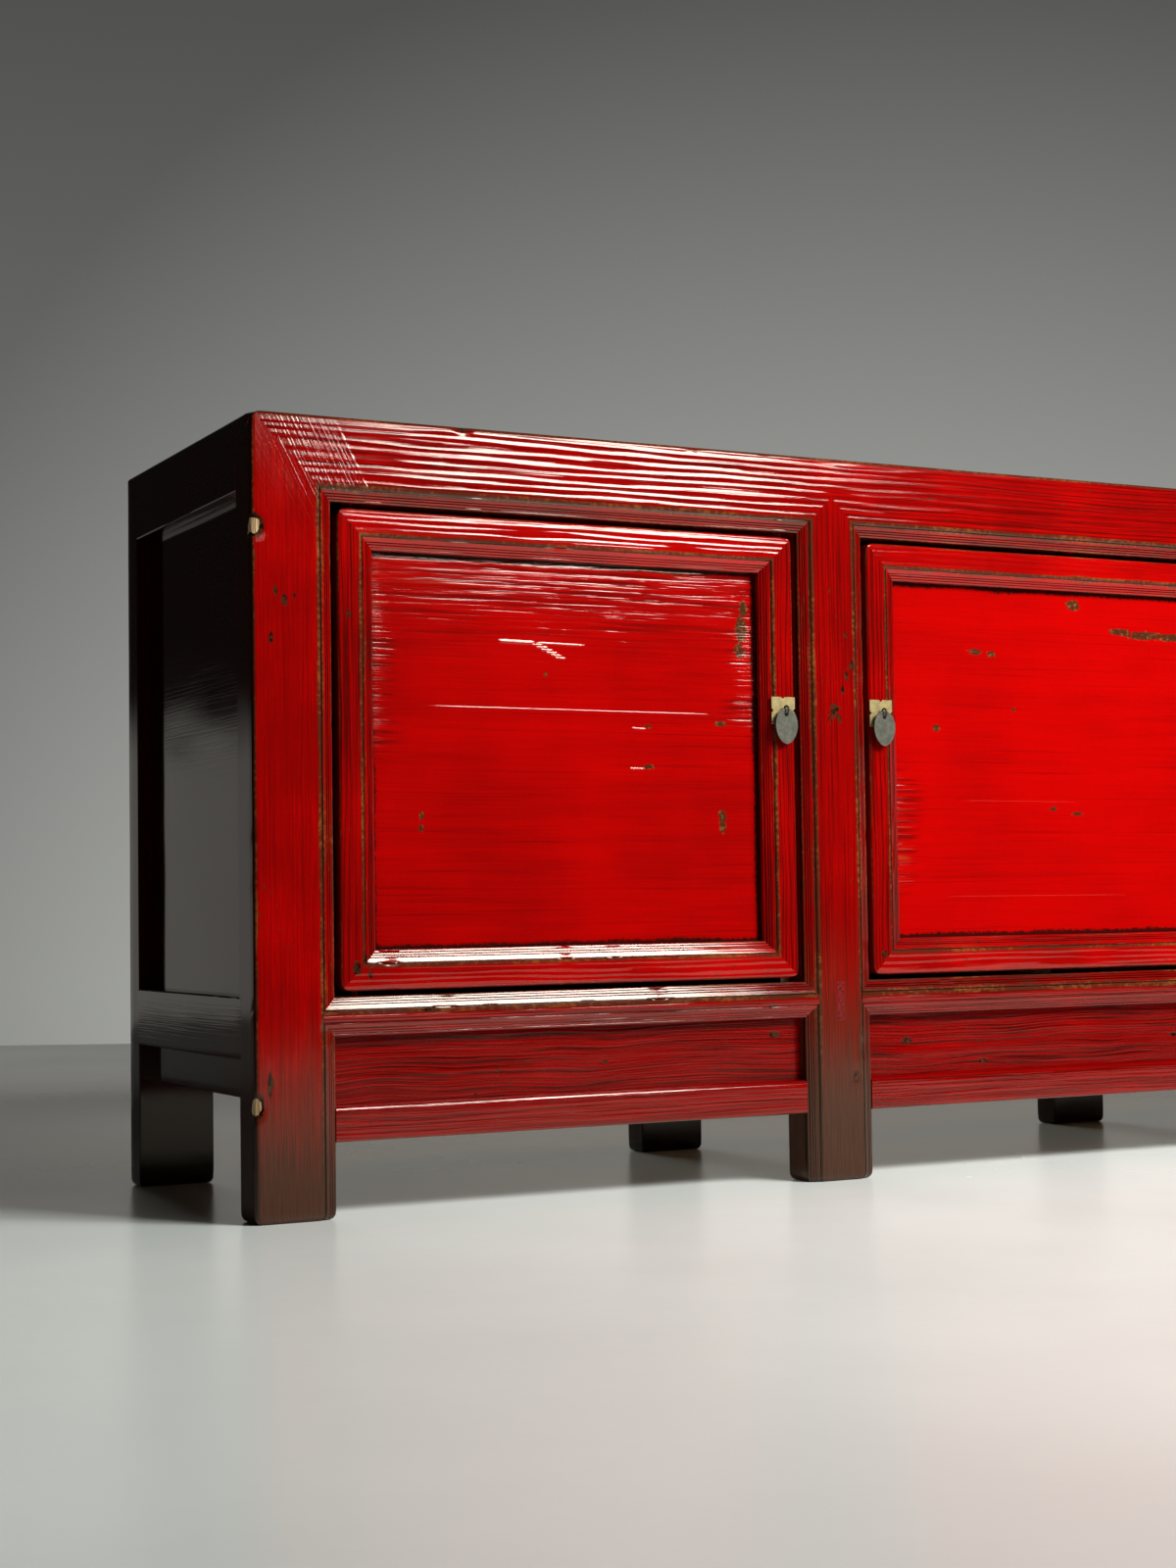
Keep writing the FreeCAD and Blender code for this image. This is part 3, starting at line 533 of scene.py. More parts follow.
eased = round_edge(2 * MM, wear=0.5)
rear_posts = [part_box(f"rear_post_{number}") for number in range(1, 5)]
for number, (low, high) in enumerate(rear_posts, start=1):
    width = high.x - low.x

    def rear_top(a, b):
        if number == 1:
            return TOP - max(width - a, b)
        if number == 4:
            return TOP - max(a, b)
        return OPENING_TOP

    outline = section(width, high.y - low.y, outer if number == 4 else eased,
                      outer if number == 1 else eased)
    post = stick(outline, Vector((high.x, high.y, 0)), (Z_AXIS, -X_AXIS, -Y_AXIS), square(0.0), rear_top,
                 spacing=10 * MM, seed=10 + number, foot=FOOT_ROUNDING)
    lay_up(f"rear_post_{number}", [ease_block(post)], post_lacquer)

# Bottom rails: narrow rails between the posts at the foot of each bay, tenoned into them and set
# back to the low edge of their beads. The upper edge is planed round and catches the light.

rail_lacquer = lacquer("rail_lacquer", ridge=0.3, spacing=4, shade=0.26, lined=0.7, wavy=8, rings=6)
lower_edge = round_edge(2.5 * MM, wear=0.6)
upper_edge = round_edge(5.5 * MM, wear=0.3)
bays = [(posts[bay][1].x, posts[bay + 1][0].x) for bay in range(3)]
for bay, (left, right) in enumerate(bays, start=1):
    low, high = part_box(f"bottom_rail_{bay}")
    outline = section(high.z - low.z, high.y - low.y, lower_edge, upper_edge)
    corner = Vector((left, low.y, low.z))
    rail = stick(outline, corner, LEVEL, square(0.0), square(right - left), seed=20 + bay)
    lay_up(f"bottom_rail_{bay}", [rail], rail_lacquer)

# Apron panels: thin boards with strong raised grain, in grooves between bottom rail and threshold.
# Damp and knocks from feet have stained them brown in places.

APRON_DENTS = (
    (-418, 172, 12, 7, 0.1), (-798, 122, 5, 4, 0.1), (-232, 158, 14, 6, 0.1), (-121, 129.5, 11, 5, 0.1),
    (-640, 150, 9, 3, 0.1), (180, 150, 12, 5, 0.1), (620, 140, 9, 6, 0.1),
)
APRON_GROOVE = 5 * MM
APRON_RAISED = 0.12 * MM
APRON_RING = 7 * MM
apron_lacquer = lacquer("apron_lacquer", ridge=0.15, spacing=4, shade=0.26, lined=1.0, wavy=30,
                        rings=3.4, cut=0.03, gloss=0.22)
low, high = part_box("apron_panels")
outline = section(high.z - low.z, high.y - low.y, eased, eased, step=1.8 * MM)
aprons = []
for bay, (left, right) in enumerate(bays):
    corner = Vector((left - APRON_GROOVE, low.y, low.z))
    end = square(right - left + 2 * APRON_GROOVE)
    aprons.append(stick(outline, corner, LEVEL, square(0.0), end, seed=30 + bay, dents=APRON_DENTS,
                        raised=APRON_RAISED, ring_width=APRON_RING))
lay_up("apron_panels", aprons, apron_lacquer, name="apron_boards")

# Thresholds: the rails under the doors, worked with the same bead above and below. Their ends come
# to a blunt point that is scribed over the beads of the posts.

POINT_REACH = 15 * MM
THRESHOLD_DENTS = ((-860, 216, 20, 4, 0.2), (-430, 205, 9, 4, 0.2), (520, 214, 14, 4, 0.2))
narrow = worked[:-2]
sheltered = [(distance, depth, 0.3 * wear, 0.5 * grime) for distance, depth, wear, grime in narrow]
threshold_lacquer = lacquer("threshold_lacquer", ridge=0.3, spacing=5, shade=0.15, lined=0.9, wavy=6,
                            rings=4.5)
for bay, (left, right) in enumerate(bays, start=1):
    low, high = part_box(f"threshold_{bay}")
    tall = high.z - low.z

    def reach(a):
        return min(POINT_REACH, a, tall - a)

    outline = section(tall, high.y - low.y, sheltered, narrow)
    rail = stick(outline, Vector((left, low.y, low.z)), LEVEL, lambda a, b: -reach(a),
                 lambda a, b: right - left + reach(a), seed=40 + bay, dents=THRESHOLD_DENTS)
    lay_up(f"threshold_{bay}", [rail], threshold_lacquer)

# Sides: a rail flush with the posts, a panel set back above it and an apron board below, all in
# grooves. They see less light and wear, and their near-black colour is painted shade.

SIDE_GROOVE = 6 * MM
side_lacquer = lacquer("side_lacquer", ridge=0.1, spacing=8, shade=0.2, painted_end_shade=0.97)
near = posts[0][1].y
far = rear_posts[0][0].y
for side, outward in (("left", -X_AXIS), ("right", X_AXIS)):
    for kind, seed in (("side_rail", 50), ("side_panel", 52), ("side_apron", 54)):
        low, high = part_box(f"{kind}_{side}")
        outline = section(high.z - low.z, high.x - low.x, eased, eased, step=8 * MM)
        corner = Vector((low.x if side == "left" else high.x, near, low.z))
        board = stick(outline, corner, (Y_AXIS, Z_AXIS, -outward), square(-SIDE_GROOVE),
                      square(far - near + SIDE_GROOVE), seed=seed + (side == "right"))
        lay_up(f"{kind}_{side}", [board], side_lacquer)

# Back, floor and shelf: unlacquered boards and bearers in grooves and mortises, thinly stained.
# They show when a door stands open and from behind.

PALE_RING = (0.44, 0.29, 0.16, 1)
DARK_RING = (0.30, 0.175, 0.09, 1)
DARK_FIBRE = (0.16, 0.085, 0.04, 1)
STAIN = (0.13, 0.075, 0.045, 1)


def bare_wood(name, along):
    """Planed softwood, thinly stained, with its grain along one axis. Tenon ends that come out at
    the front were lacquered over with the posts."""
    finish = Finish(name)
    place = finish.place()
    fibre = finish.cloud(place, tuple(9 if axis == along else 330 for axis in "xyz"), detail=3)
    rings = finish.cloud(place, tuple(1.3 if axis == along else 34 for axis in "xyz"), warp=0.8)
    stain = finish.cloud(place, (3, 3, 3), detail=3)
    wood = finish.blend(rings.ease(0.38, 0.62), DARK_RING, PALE_RING)
    wood = finish.blend(fibre.ease(0.62, 0.3) * 0.5, wood, DARK_FIBRE)
    wood = finish.blend(stain.ease(0.5, 0.75) * 0.45, wood, STAIN)
    painted = place.parts()[1].ease(FRONT + 2 * MM, FRONT + 1 * MM)
    wood = finish.blend(painted, wood, finish.blend(fibre.ease(0.4, 0.6), SEAM_RED, DEEP_RED))
    roughness = fibre * 0.2 - painted * 0.35 + 0.55
    return finish.close(wood, roughness, fibre * (0.12 * MM) + rings * (0.3 * MM))


BARE_PIECES = {"x": ("back_panels", "back_rails", "floor_boards", "shelf_boards"),
               "y": ("floor_bearers", "shelf_bearers", "top_battens"), "z": ("door_stops",)}
for along, names in BARE_PIECES.items():
    softwood = bare_wood(f"bare_softwood_{along}", along)
    for name in names:
        piece = frame["nodes"][name]
        piece.data.materials.clear()
        piece.data.materials.append(softwood)
        edges = piece.modifiers.new("eased_edges", "BEVEL")
        edges.width = 0.9 * MM
        edges.segments = 2
        edges.limit_method = "ANGLE"
        edges.harden_normals = True

# Top frame: four rails mitred at the corners with each other and with the posts. The front one has
# the posts' bead along its lower edge, broken by the points of the middle posts.

TOP_DENTS = ((-815, 847, 11, 6, 2.5), (300, 846, 9, 5, 1.5))
POST_POINT = (posts[1][1].x - posts[1][0].x) / 2
BAND = TOP - OPENING_TOP
top_lacquer = lacquer("top_lacquer", ridge=0.6, spacing=8.5, shade=0.08, lined=0.8, brushed=0.7, wavy=8,
                      rings=5, cut=0.02, even=True)
top_grain = {"seed": 60, "spacing": 5 * MM, "raised": 0.3 * MM, "ring_width": 10 * MM,
             "raised_from": STROKE_EDGE - STROKE_LEAN * OPENING_TOP}
low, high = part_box("top_rail_front")
low.x = posts[0][0].x
high.x = posts[3][1].x
rail_depth = high.y - low.y
sawn_edge = [(0.0, 0.0, 0.0, 0.0)]


def mitre(tall, a, b):
    """How far a mitred end stands back, at a point of a member that tall."""
    return max(tall - a, b)


upper = section(BAND - POST_POINT, rail_depth, sawn_edge, outer, step=2.8 * MM)
lower = section(POST_POINT, rail_depth, worked, sawn_edge, step=2.8 * MM)
bands = [stick(upper, Vector((low.x, low.y, OPENING_TOP + POST_POINT)), LEVEL,
               lambda a, b: mitre(BAND - POST_POINT, a, b),
               lambda a, b: high.x - low.x - mitre(BAND - POST_POINT, a, b), dents=TOP_DENTS, **top_grain)]
for bay, (left, right) in enumerate(bays):
    def band_start(a, b):
        return low.x + mitre(BAND, a, b) - left if bay == 0 else -a

    def band_end(a, b):
        return high.x - mitre(BAND, a, b) - left if bay == 2 else right - left + a

    bands.append(stick(lower, Vector((left, low.y, OPENING_TOP)), LEVEL, band_start, band_end, **top_grain))
lay_up("top_rail_front", [ease_block(band) for band in bands], top_lacquer)

low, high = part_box("top_rail_rear")
low.x = rear_posts[0][0].x
high.x = rear_posts[3][1].x
tall = high.z - low.z
rear = stick(section(tall, high.y - low.y, eased, outer), Vector((low.x, high.y, low.z)),
             (X_AXIS, Z_AXIS, -Y_AXIS), lambda a, b: mitre(tall, a, b),
             lambda a, b: high.x - low.x - mitre(tall, a, b), seed=64)
lay_up("top_rail_rear", [ease_block(rear)], top_lacquer)

front_depth = posts[0][1].y - posts[0][0].y
rear_depth = rear_posts[0][1].y - rear_posts[0][0].y
for side, outward in (("left", -X_AXIS), ("right", X_AXIS)):
    low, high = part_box(f"top_rail_{side}")
    low.y = posts[0][0].y
    high.y = rear_posts[0][1].y
    tall = high.z - low.z
    corner = Vector((low.x if side == "left" else high.x, low.y, low.z))
    rail = stick(section(tall, high.x - low.x, eased, outer), corner, (Y_AXIS, Z_AXIS, -outward),
                 lambda a, b: min(front_depth, mitre(tall, a, b)),
                 lambda a, b: high.y - low.y - min(rear_depth, mitre(tall, a, b)),
                 seed=66 + (side == "right"))
    lay_up(f"top_rail_{side}", [ease_block(rail)], side_lacquer)

# Top boards: two wide boards that float between the rails, flush with them, with a seam between.
# Their grain runs along the sideboard, and they are lacquered red like the frame.

board_lacquer = lacquer("board_lacquer", ridge=0.5, spacing=9)
board_edge = round_edge(1 * MM, wear=0.6)
inside_left = posts[0][0].x + front_depth
inside_right = posts[3][1].x - front_depth
board_low, board_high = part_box("top_board_front")
seam = board_high.y
for name, near, far in (("front", posts[0][1].y, seam), ("rear", seam, rear_posts[0][0].y)):
    outline = section(far - near, TOP - board_low.z, board_edge, board_edge, step=9 * MM)
    board = stick(outline, Vector((inside_left, near, TOP)), (X_AXIS, Y_AXIS, -Z_AXIS), square(0.0),
                  square(inside_right - inside_left), spacing=12 * MM, seed=70 + (name == "rear"))
    lay_up(f"top_board_{name}", [board], board_lacquer)

# Door frames: two stiles and two rails each, mitred at the corners, with a rounded outer edge and
# the same kind of bead round the panel. The hinge stile carries a wooden pivot at top and foot.

DOOR_EDGE = (
    (0.0, 14.0, 0.0, 0.8), (0.05, 9.0, 0.3, 0.4), (0.5, 7.2, 0.6, 0.0), (0.9, 6.95, 0.5, 0.0),
    (2.2, 6.4, 0.3, 0.1), (2.7, 6.6, 0.2, 1.0), (3.2, 5.6, 0.2, 0.6), (3.6, 5.4, 0.2, 0.1),
    (4.9, 4.85, 0.25, 0.0), (5.2, 5.1, 0.2, 1.0), (5.8, 5.05, 0.2, 1.0), (6.2, 4.4, 0.25, 0.1),
    (7.5, 3.85, 0.3, 0.0), (7.8, 4.1, 0.2, 1.0), (8.3, 4.05, 0.2, 1.0), (8.7, 3.4, 0.3, 0.1),
    (12.0, 2.02, 0.5, 0.1),
    (13.2, 1.6, 0.7, 0.5), (13.8, 2.0, 0.3, 1.0), (14.4, 1.5, 0.8, 0.6), (14.9, 0.8, 1.1, 0.1),
    (15.5, 0.15, 1.2, 0.0), (16.5, 0.0, 1.1, 0.0), (18.0, 0.0, 0.6, 0.0), (20.0, 0.0, 0.1, 0.0),
    (22.0, 0.0, 0.0, 0.0),
)
stile_lacquer = lacquer("door_stile_lacquer", ridge=0.4, spacing=6, shade=0.06, lined=0.85, wavy=14,
                        rings=5.5, cut=0.05)
door_rail_lacquer = lacquer("door_rail_lacquer", ridge=0.4, spacing=7, lined=0.25, wavy=5, cut=0.03,
                            even=True)
door_worked = in_metres(DOOR_EDGE)
door_outer = round_edge(4 * MM, wear=0.7)
CORNER_ROUNDING = 12 * MM


def soften_corners(made, low, high):
    """Round the four outer corners of a door seen from the front."""
    for index, place in enumerate(made["points"]):
        middle_x = clamp(place.x, low.x + CORNER_ROUNDING, high.x - CORNER_ROUNDING)
        middle_z = clamp(place.z, low.z + CORNER_ROUNDING, high.z - CORNER_ROUNDING)
        away = Vector((place.x - middle_x, 0, place.z - middle_z))
        if away.length > CORNER_ROUNDING and abs(away.x) > 0 and abs(away.z) > 0:
            away = away.normalized() * CORNER_ROUNDING
            made["points"][index] = Vector((middle_x + away.x, place.y, middle_z + away.z))


PIVOT_RADIUS = 5.5 * MM
PIVOT_TIP = 0.8
PIVOT_ROOT = 5 * MM
PIVOT_SIDES = 20
PIVOT_MARKS = {"wear": 0.5, "grime": 0.7, "bruise": 0.0, "tooled": 0.0}


def pivot(stile, axis, low_z, high_z):
    """A turned pin that goes on from a stile's end."""
    rows = ((low_z, PIVOT_TIP), (low_z + 1 * MM, 1.0), (high_z - 1 * MM, 1.0), (high_z, PIVOT_TIP))
    loops = []
    for height, share in rows:
        first = len(stile["points"])
        loops.append(list(range(first, first + PIVOT_SIDES)))
        for turn in range(PIVOT_SIDES):
            angle = turn / PIVOT_SIDES * math.tau
            stile["points"].append(Vector((axis[0] + PIVOT_RADIUS * share * math.cos(angle),
                                           axis[1] + PIVOT_RADIUS * share * math.sin(angle), height)))
            for mark, value in PIVOT_MARKS.items():
                stile[mark].append(value)
    for below, above in zip(loops, loops[1:]):
        for turn in range(PIVOT_SIDES):
            following = (turn + 1) % PIVOT_SIDES
            face = [below[turn], below[following], above[following], above[turn]]
            stile["faces"].append(face)
            stile["grain"] += [(stile["points"][index].z, turn * MM) for index in face]
    for face in (loops[0][::-1], loops[-1]):
        stile["faces"].append(face)
        stile["grain"] += [(0.0, turn * MM) for turn in range(PIVOT_SIDES)]


DOOR_DENTS = (
    (-942, 262, 9, 13, 0.1), (-926, 256, 4, 12, 0.1), (-932, 272, 5, 8, 0.1), (-947, 640, 4, 9, 0.2),
    (-404, 600, 3, 6, 0.1), (-270, 262, 8, 9, 0.1), (420, 270, 7, 10, 0.1), (940, 660, 4, 9, 0.2),
)
STILE = 43 * MM
joints = {joint["name"]: joint for joint in frame["joints"]}
doors = {}
for number in range(1, 4):
    free_low, free_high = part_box(f"door_{number}_free_stile")
    hinge_low, hinge_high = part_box(f"door_{number}_hinge_stile")
    low = Vector((min(free_low.x, hinge_low.x), free_low.y, free_low.z))
    high = Vector((max(free_high.x, hinge_high.x), free_high.y, free_high.z))
    doors[number] = (low, high)
    size = high - low
    axis = joints[f"door_{number}_swing"]["pos_m"]
    hinge_is_left = hinge_low.x < free_low.x
    # Each member, which way it runs, whether it is at the left or the foot, and its seed.
    members = (("hinge_stile", UPRIGHT, hinge_is_left, 80 + hinge_is_left),
               ("free_stile", UPRIGHT, not hinge_is_left, 81 - hinge_is_left),
               ("top_rail", LEVEL, False, 83), ("bottom_rail", LEVEL, True, 82))
    for kind, axes, is_first, seed in members:
        run, across, _ = axes

        def drawn_back(a, b):
            return a if is_first else STILE - a

        edges = (door_outer, door_worked) if is_first else (door_worked, door_outer)
        corner = low if is_first else low + across * (size.dot(across) - STILE)
        member = stick(section(STILE, size.y, *edges), corner, axes, drawn_back,
                       lambda a, b: size.dot(run) - drawn_back(a, b), seed=seed + 4 * number,
                       dents=DOOR_DENTS)
        soften_corners(member, low, high)
        if kind == "hinge_stile":
            pivot(member, axis, hinge_low.z, low.z + PIVOT_ROOT)
            pivot(member, axis, high.z - PIVOT_ROOT, hinge_high.z)
        finish = stile_lacquer if axes is UPRIGHT else door_rail_lacquer
        lay_up(f"door_{number}_{kind}", [member], finish, f"door_{number}")

# Door panels: wide single boards, their grain level, floating in the frames' grooves. The edges were
# thinned with a plane, which left a low margin with chatter marks, and the face took knocks.

PANEL_DENTS = (
    (-706, 584, 7, 3, 0.2), (-578.6, 528, 13, 3.5, 0.2), (-579, 482, 16, 4.5, 0.2), (-481, 533, 14, 5, 0.2),
    (-859, 425, 4, 10, 0.2), (-860, 412, 5, 7, 0.2), (-479.7, 426, 10, 13, 0.3), (-480.5, 414, 7, 13, 0.3),
    (-448, 668, 9, 16, 0.4), (-451, 645, 13, 26, 0.4), (-453, 619, 13, 14, 0.4), (37, 694, 19, 11, 0.3),
    (112, 663, 32, 7, 0.3), (150, 660, 50, 9, 0.4), (195, 659, 44, 8, 0.3), (-116, 630, 16, 6, 0.2),
    (-92, 628, 10, 7, 0.2), (-177, 535, 9, 8, 0.2), (-1, 437, 12, 4, 0.2), (37, 431, 16, 4, 0.2),
    (-60, 560, 8, 3.5, 0.2), (560, 600, 16, 5, 0.3), (760, 520, 12, 4, 0.2), (690, 390, 9, 6, 0.3),
    (840, 660, 18, 5, 0.3),
)
# Lifted lacquer and fine shakes of each panel: start and end, across and up, and half the width.
RAISED_LINES = {
    1: ((-768, 619.1, -716, 618.6, 2.8), (-722, 618.9, -650, 617.6, 1.5), (-725, 617.0, -708, 616.2, 1.9),
        (-719, 614.2, -702, 613.4, 1.9), (-713, 611.4, -696, 610.6, 1.9), (-707, 608.6, -690, 607.8, 1.8),
        (-701, 605.8, -685, 605.0, 1.7), (-695, 603.0, -680, 602.2, 1.5), (-890, 545.3, -452, 543.7, 0.8),
        (-600, 526, -578, 525, 1.2), (-603, 480, -580, 479.5, 1.2)),
    2: ((-160, 447, 60, 446, 0.45), (-134, 632, -104, 630, 1.5), (-190, 330, 130, 329, 0.45)),
    3: ((480, 610, 760, 608, 1.1),),
}
RAISED_SLOPE = 0.22


def panel_lacquer(name, shade, raised_lines):
    """Thick, level lacquer over wide boards, with chatter at the margins and a few lifted lines."""
    finish = Finish(name)
    grain = finish.grain()
    place = finish.place()
    x, _, z = place.parts()
    fibre = finish.cloud(grain, (9, 520, 1), detail=3)
    broad = finish.cloud(grain, (1.6, 40, 1))
    patches = finish.cloud(place, (7, 7, 7), detail=4)
    crumbs = finish.cloud(place, (190, 190, 190))
    chatter = finish.cloud(grain, (6, 210, 1), detail=3, warp=0.4)
    tooled = finish.mark("tooled")
    # The shade darkens or lightens the whole panel: painted shade for its place in the falling light.
    tone = fibre * 0.3 + broad * 0.25 + patches * 0.4 + (0.1 - shade)
    red = finish.blend(tone.ease(0.28, 0.72), DEEP_RED, BRIGHT_RED)
    drawn = finish.cloud(grain, (3, 260, 1), detail=4).ease(0.56, 0.72)
    red = finish.blend(drawn * 0.35, red, SEAM_RED)
    scuffed = chatter.ease(0.52, 0.38) * tooled.ease(0.1, 0.6)
    red = finish.blend(scuffed * 0.6, red, SEAM_RED)
    rubbed = chatter.ease(0.6, 0.72) * tooled.ease(0.45, 0.9)
    red = finish.blend(rubbed * 0.7, red, OCHRE)
    bruised = (finish.mark("bruise") * (crumbs + 0.1)).ease(0.18, 0.3)
    red = finish.blend(bruised, red, finish.blend(crumbs.ease(0.5, 0.72), BROWN, OCHRE))
    dirty = (finish.mark("grime") + crumbs * 0.7 - 0.35).ease(0.35, 0.8)
    red = finish.blend(dirty * 0.9, red, SOOT)
    lines = 0.0
    for from_x, from_z, to_x, to_z, half in raised_lines:
        length = to_x - from_x
        along = x - (from_x + to_x) / 2 * MM
        away = abs(z - (from_z + to_z) / 2 * MM - along * ((to_z - from_z) / length))
        reach = abs(along).ease(length / 2 * MM, length * 0.3 * MM)
        lines = (away.ease(half * MM, 0.0) * reach * half).most(lines)
    height = (fibre * (0.035 * MM) + broad * (0.25 * MM) + finish.cloud(grain, (7, 14, 1)) * (1.2 * MM)
              + chatter * tooled * (tooled * (0.6 * MM) + 0.9 * MM) + lines * (RAISED_SLOPE * MM)
              - bruised * (0.04 * MM))
    roughness = fibre * 0.05 + patches * 0.04 + tooled * 0.04 + 0.035
    return finish.close(red, roughness, height, **{"Specular Tint": VARNISH_TINT})


MARGIN = 16 * MM
MARGIN_FALL = 1.2 * MM
CHATTER_REACH = 3.4 * MARGIN
CHATTER_FADE = 40
FAINTEST_CHATTER = 0.12
STREAKS_FROM = 0.66
SOILED_REACH = 9 * MM
# Heights between which the plane chattered, at the left and at the right edge of each panel.
CHATTER = {1: ((470, 700), (505, 690)), 2: ((310, 505), (280, 400)), 3: ((420, 690), (350, 640))}
STREAKS = {1: 1.0, 2: 0.12, 3: 0.4}
# Painted shade: door 1's panel is drawn darker and door 2's lighter, for the light falling off towards the
# left.
PANEL_PAINTED_SHADE = {1: 0.06, 2: -0.04, 3: 0.0}
panel_edge = [(0.0, 3 * MM, 0.0, 0.5), (0.5 * MM, 0.0, 0.0, 0.5)]
for number, (door_low, door_high) in doors.items():
    low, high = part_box(f"door_{number}_panel")
    visible_low = door_low.x + STILE - low.x
    visible_high = door_high.x - STILE - low.x
    visible_bottom = door_low.z + STILE - low.z
    visible_top = door_high.z - STILE - low.z

    def margin(u, a):
        """How far the thinned edge falls, how much the plane chattered and how much grime lies there."""
        end = min(u - visible_low, visible_high - u)
        side = min(a - visible_bottom, visible_top - a)
        wander = 1 + 0.5 * noise.noise(Vector((u * 14, a * 14, number)))
        ends = clamp(1 - end / (MARGIN * wander))
        sides = clamp(1 - side / (0.7 * MARGIN * wander))
        foot, head = CHATTER[number][u > (visible_low + visible_high) / 2]
        height = (low.z + a) / MM + CHATTER_FADE * (wander - 1)
        marked = clamp(min(height - foot, head - height) / CHATTER_FADE, FAINTEST_CHATTER)
        chatter = clamp(1 - end / (CHATTER_REACH * wander)) * marked
        above = clamp((a / visible_top - STREAKS_FROM) / (1 - STREAKS_FROM))
        streaks = above * (0.45 + 0.35 * wander) * STREAKS[number]
        soiled = clamp(1.1 - min(end, side) / (SOILED_REACH * wander))
        return MARGIN_FALL * ends ** 1.5, max(chatter, 0.3 * sides, streaks), soiled

    outline = section(high.z - low.z, high.y - low.y, panel_edge, panel_edge, step=3 * MM)
    panel = stick(outline, low, LEVEL, square(0.0), square(high.x - low.x), spacing=3 * MM,
                  seed=100 + number, dents=PANEL_DENTS, surface=margin)
    finish = panel_lacquer(f"door_{number}_panel_lacquer", PANEL_PAINTED_SHADE[number], RAISED_LINES[number])
    lay_up(f"door_{number}_panel", [panel], finish, f"door_{number}")

# Pulls: a square brass plate notched in the middle of each side, a split pin whose eye stands
# through it with its legs spread behind the stile, and a leaf-shaped drop that hangs in the eye.


def brass(name, light, dark, roughness):
    """Old sheet brass: hammered, rubbed bright on the high places and dull in the low ones."""
    finish = Finish(name)
    place = finish.place()
    hammered = finish.cloud(place, (130, 130, 130), detail=1)
    spots = finish.cloud(place, (500, 500, 500), detail=3)
    colour = finish.blend((spots * 0.4 + hammered * 0.6).ease(0.35, 0.7), dark, light)
    height = hammered * (0.12 * MM) + spots * (0.012 * MM)
    return finish.close(colour, spots * 0.15 + (roughness - 0.07), height, Metallic=0.45)


SHEET_SHARP = math.radians(40)
RIM_ANGLE = math.radians(55)


def cut_sheet(name, loops, front, thickness, rim, finish):
    """A sheet cut along closed outlines in the front plane, the first outside and the others holes."""
    mesh = bmesh.new()
    edges = []
    for loop in loops:
        corners = [mesh.verts.new((x, front + thickness, z)) for x, z in loop]
        edges += [mesh.edges.new((corners[i - 1], corners[i])) for i in range(len(corners))]
    faces = bmesh.ops.triangle_fill(mesh, edges=edges, use_beauty=True)["geom"]
    faces = [item for item in faces if isinstance(item, bmesh.types.BMFace)]
    raised = bmesh.ops.extrude_face_region(mesh, geom=faces)["geom"]
    raised = [item for item in raised if isinstance(item, bmesh.types.BMVert)]
    bmesh.ops.translate(mesh, verts=raised, vec=(0, -thickness, 0))
    bmesh.ops.recalc_face_normals(mesh, faces=mesh.faces)
    data = bpy.data.meshes.new(name)
    mesh.to_mesh(data)
    mesh.free()
    data.shade_smooth()
    data.set_sharp_from_angle(angle=SHEET_SHARP)
    data.materials.append(finish)
    piece = put(name, data)
    edge = piece.modifiers.new("filed_rim", "BEVEL")
    edge.width = rim
    edge.segments = 2
    edge.limit_method = "ANGLE"
    edge.angle_limit = RIM_ANGLE
    return piece


def ring(middle_x, middle_z, radius, count):
    """Points of a round hole."""
    return [(middle_x + radius * math.cos(turn / count * math.tau),
             middle_z + radius * math.sin(turn / count * math.tau)) for turn in range(count)]


NOTCH = 2.5 * MM


def plate_outline(middle_x, middle_z, half):
    """A square with a small V in the middle of each side."""
    quarter = [(-half, -half), (-NOTCH, -half), (0, -half + NOTCH), (NOTCH, -half)]
    points = []
    for turn in range(4):
        points += [(middle_x + x, middle_z + z) for x, z in quarter]
        quarter = [(-z, x) for x, z in quarter]
    return points


LEAF_SHOULDER = 19 * MM
LEAF_TIP = 0.6 * MM
LEAF_ROWS = 28
LEAF_DRAW = 0.35


def leaf_outline(middle_x, low_z, high_z, half):
    """A leaf: round above, drawn in a little to a soft point below."""
    widest = high_z - LEAF_SHOULDER
    lower = widest - low_z
    arc = (lower ** 2 + half ** 2) / (2 * half)
    right = []
    for row in range(1, LEAF_ROWS):
        z = low_z + (high_z - low_z) * (1 - math.cos(row / LEAF_ROWS * math.pi)) / 2
        reach = lower if z < widest else LEAF_SHOULDER
        side = half * math.sqrt(max(1 - ((z - widest) / reach) ** 2, 0))
        if z < widest:
            drawn_in = math.sqrt(arc ** 2 - (z - widest) ** 2) - (arc - half)
            side = (1 - LEAF_DRAW) * side + LEAF_DRAW * drawn_in
        right.append((middle_x + max(side, LEAF_TIP), z))
    return right + [(2 * middle_x - x, z) for x, z in reversed(right)]


EYE = 5 * MM
WIRE = 1.2 * MM
LEG_SPREAD = 10 * MM
LEG_APART = 0.9 * MM
EYE_POINTS = 16


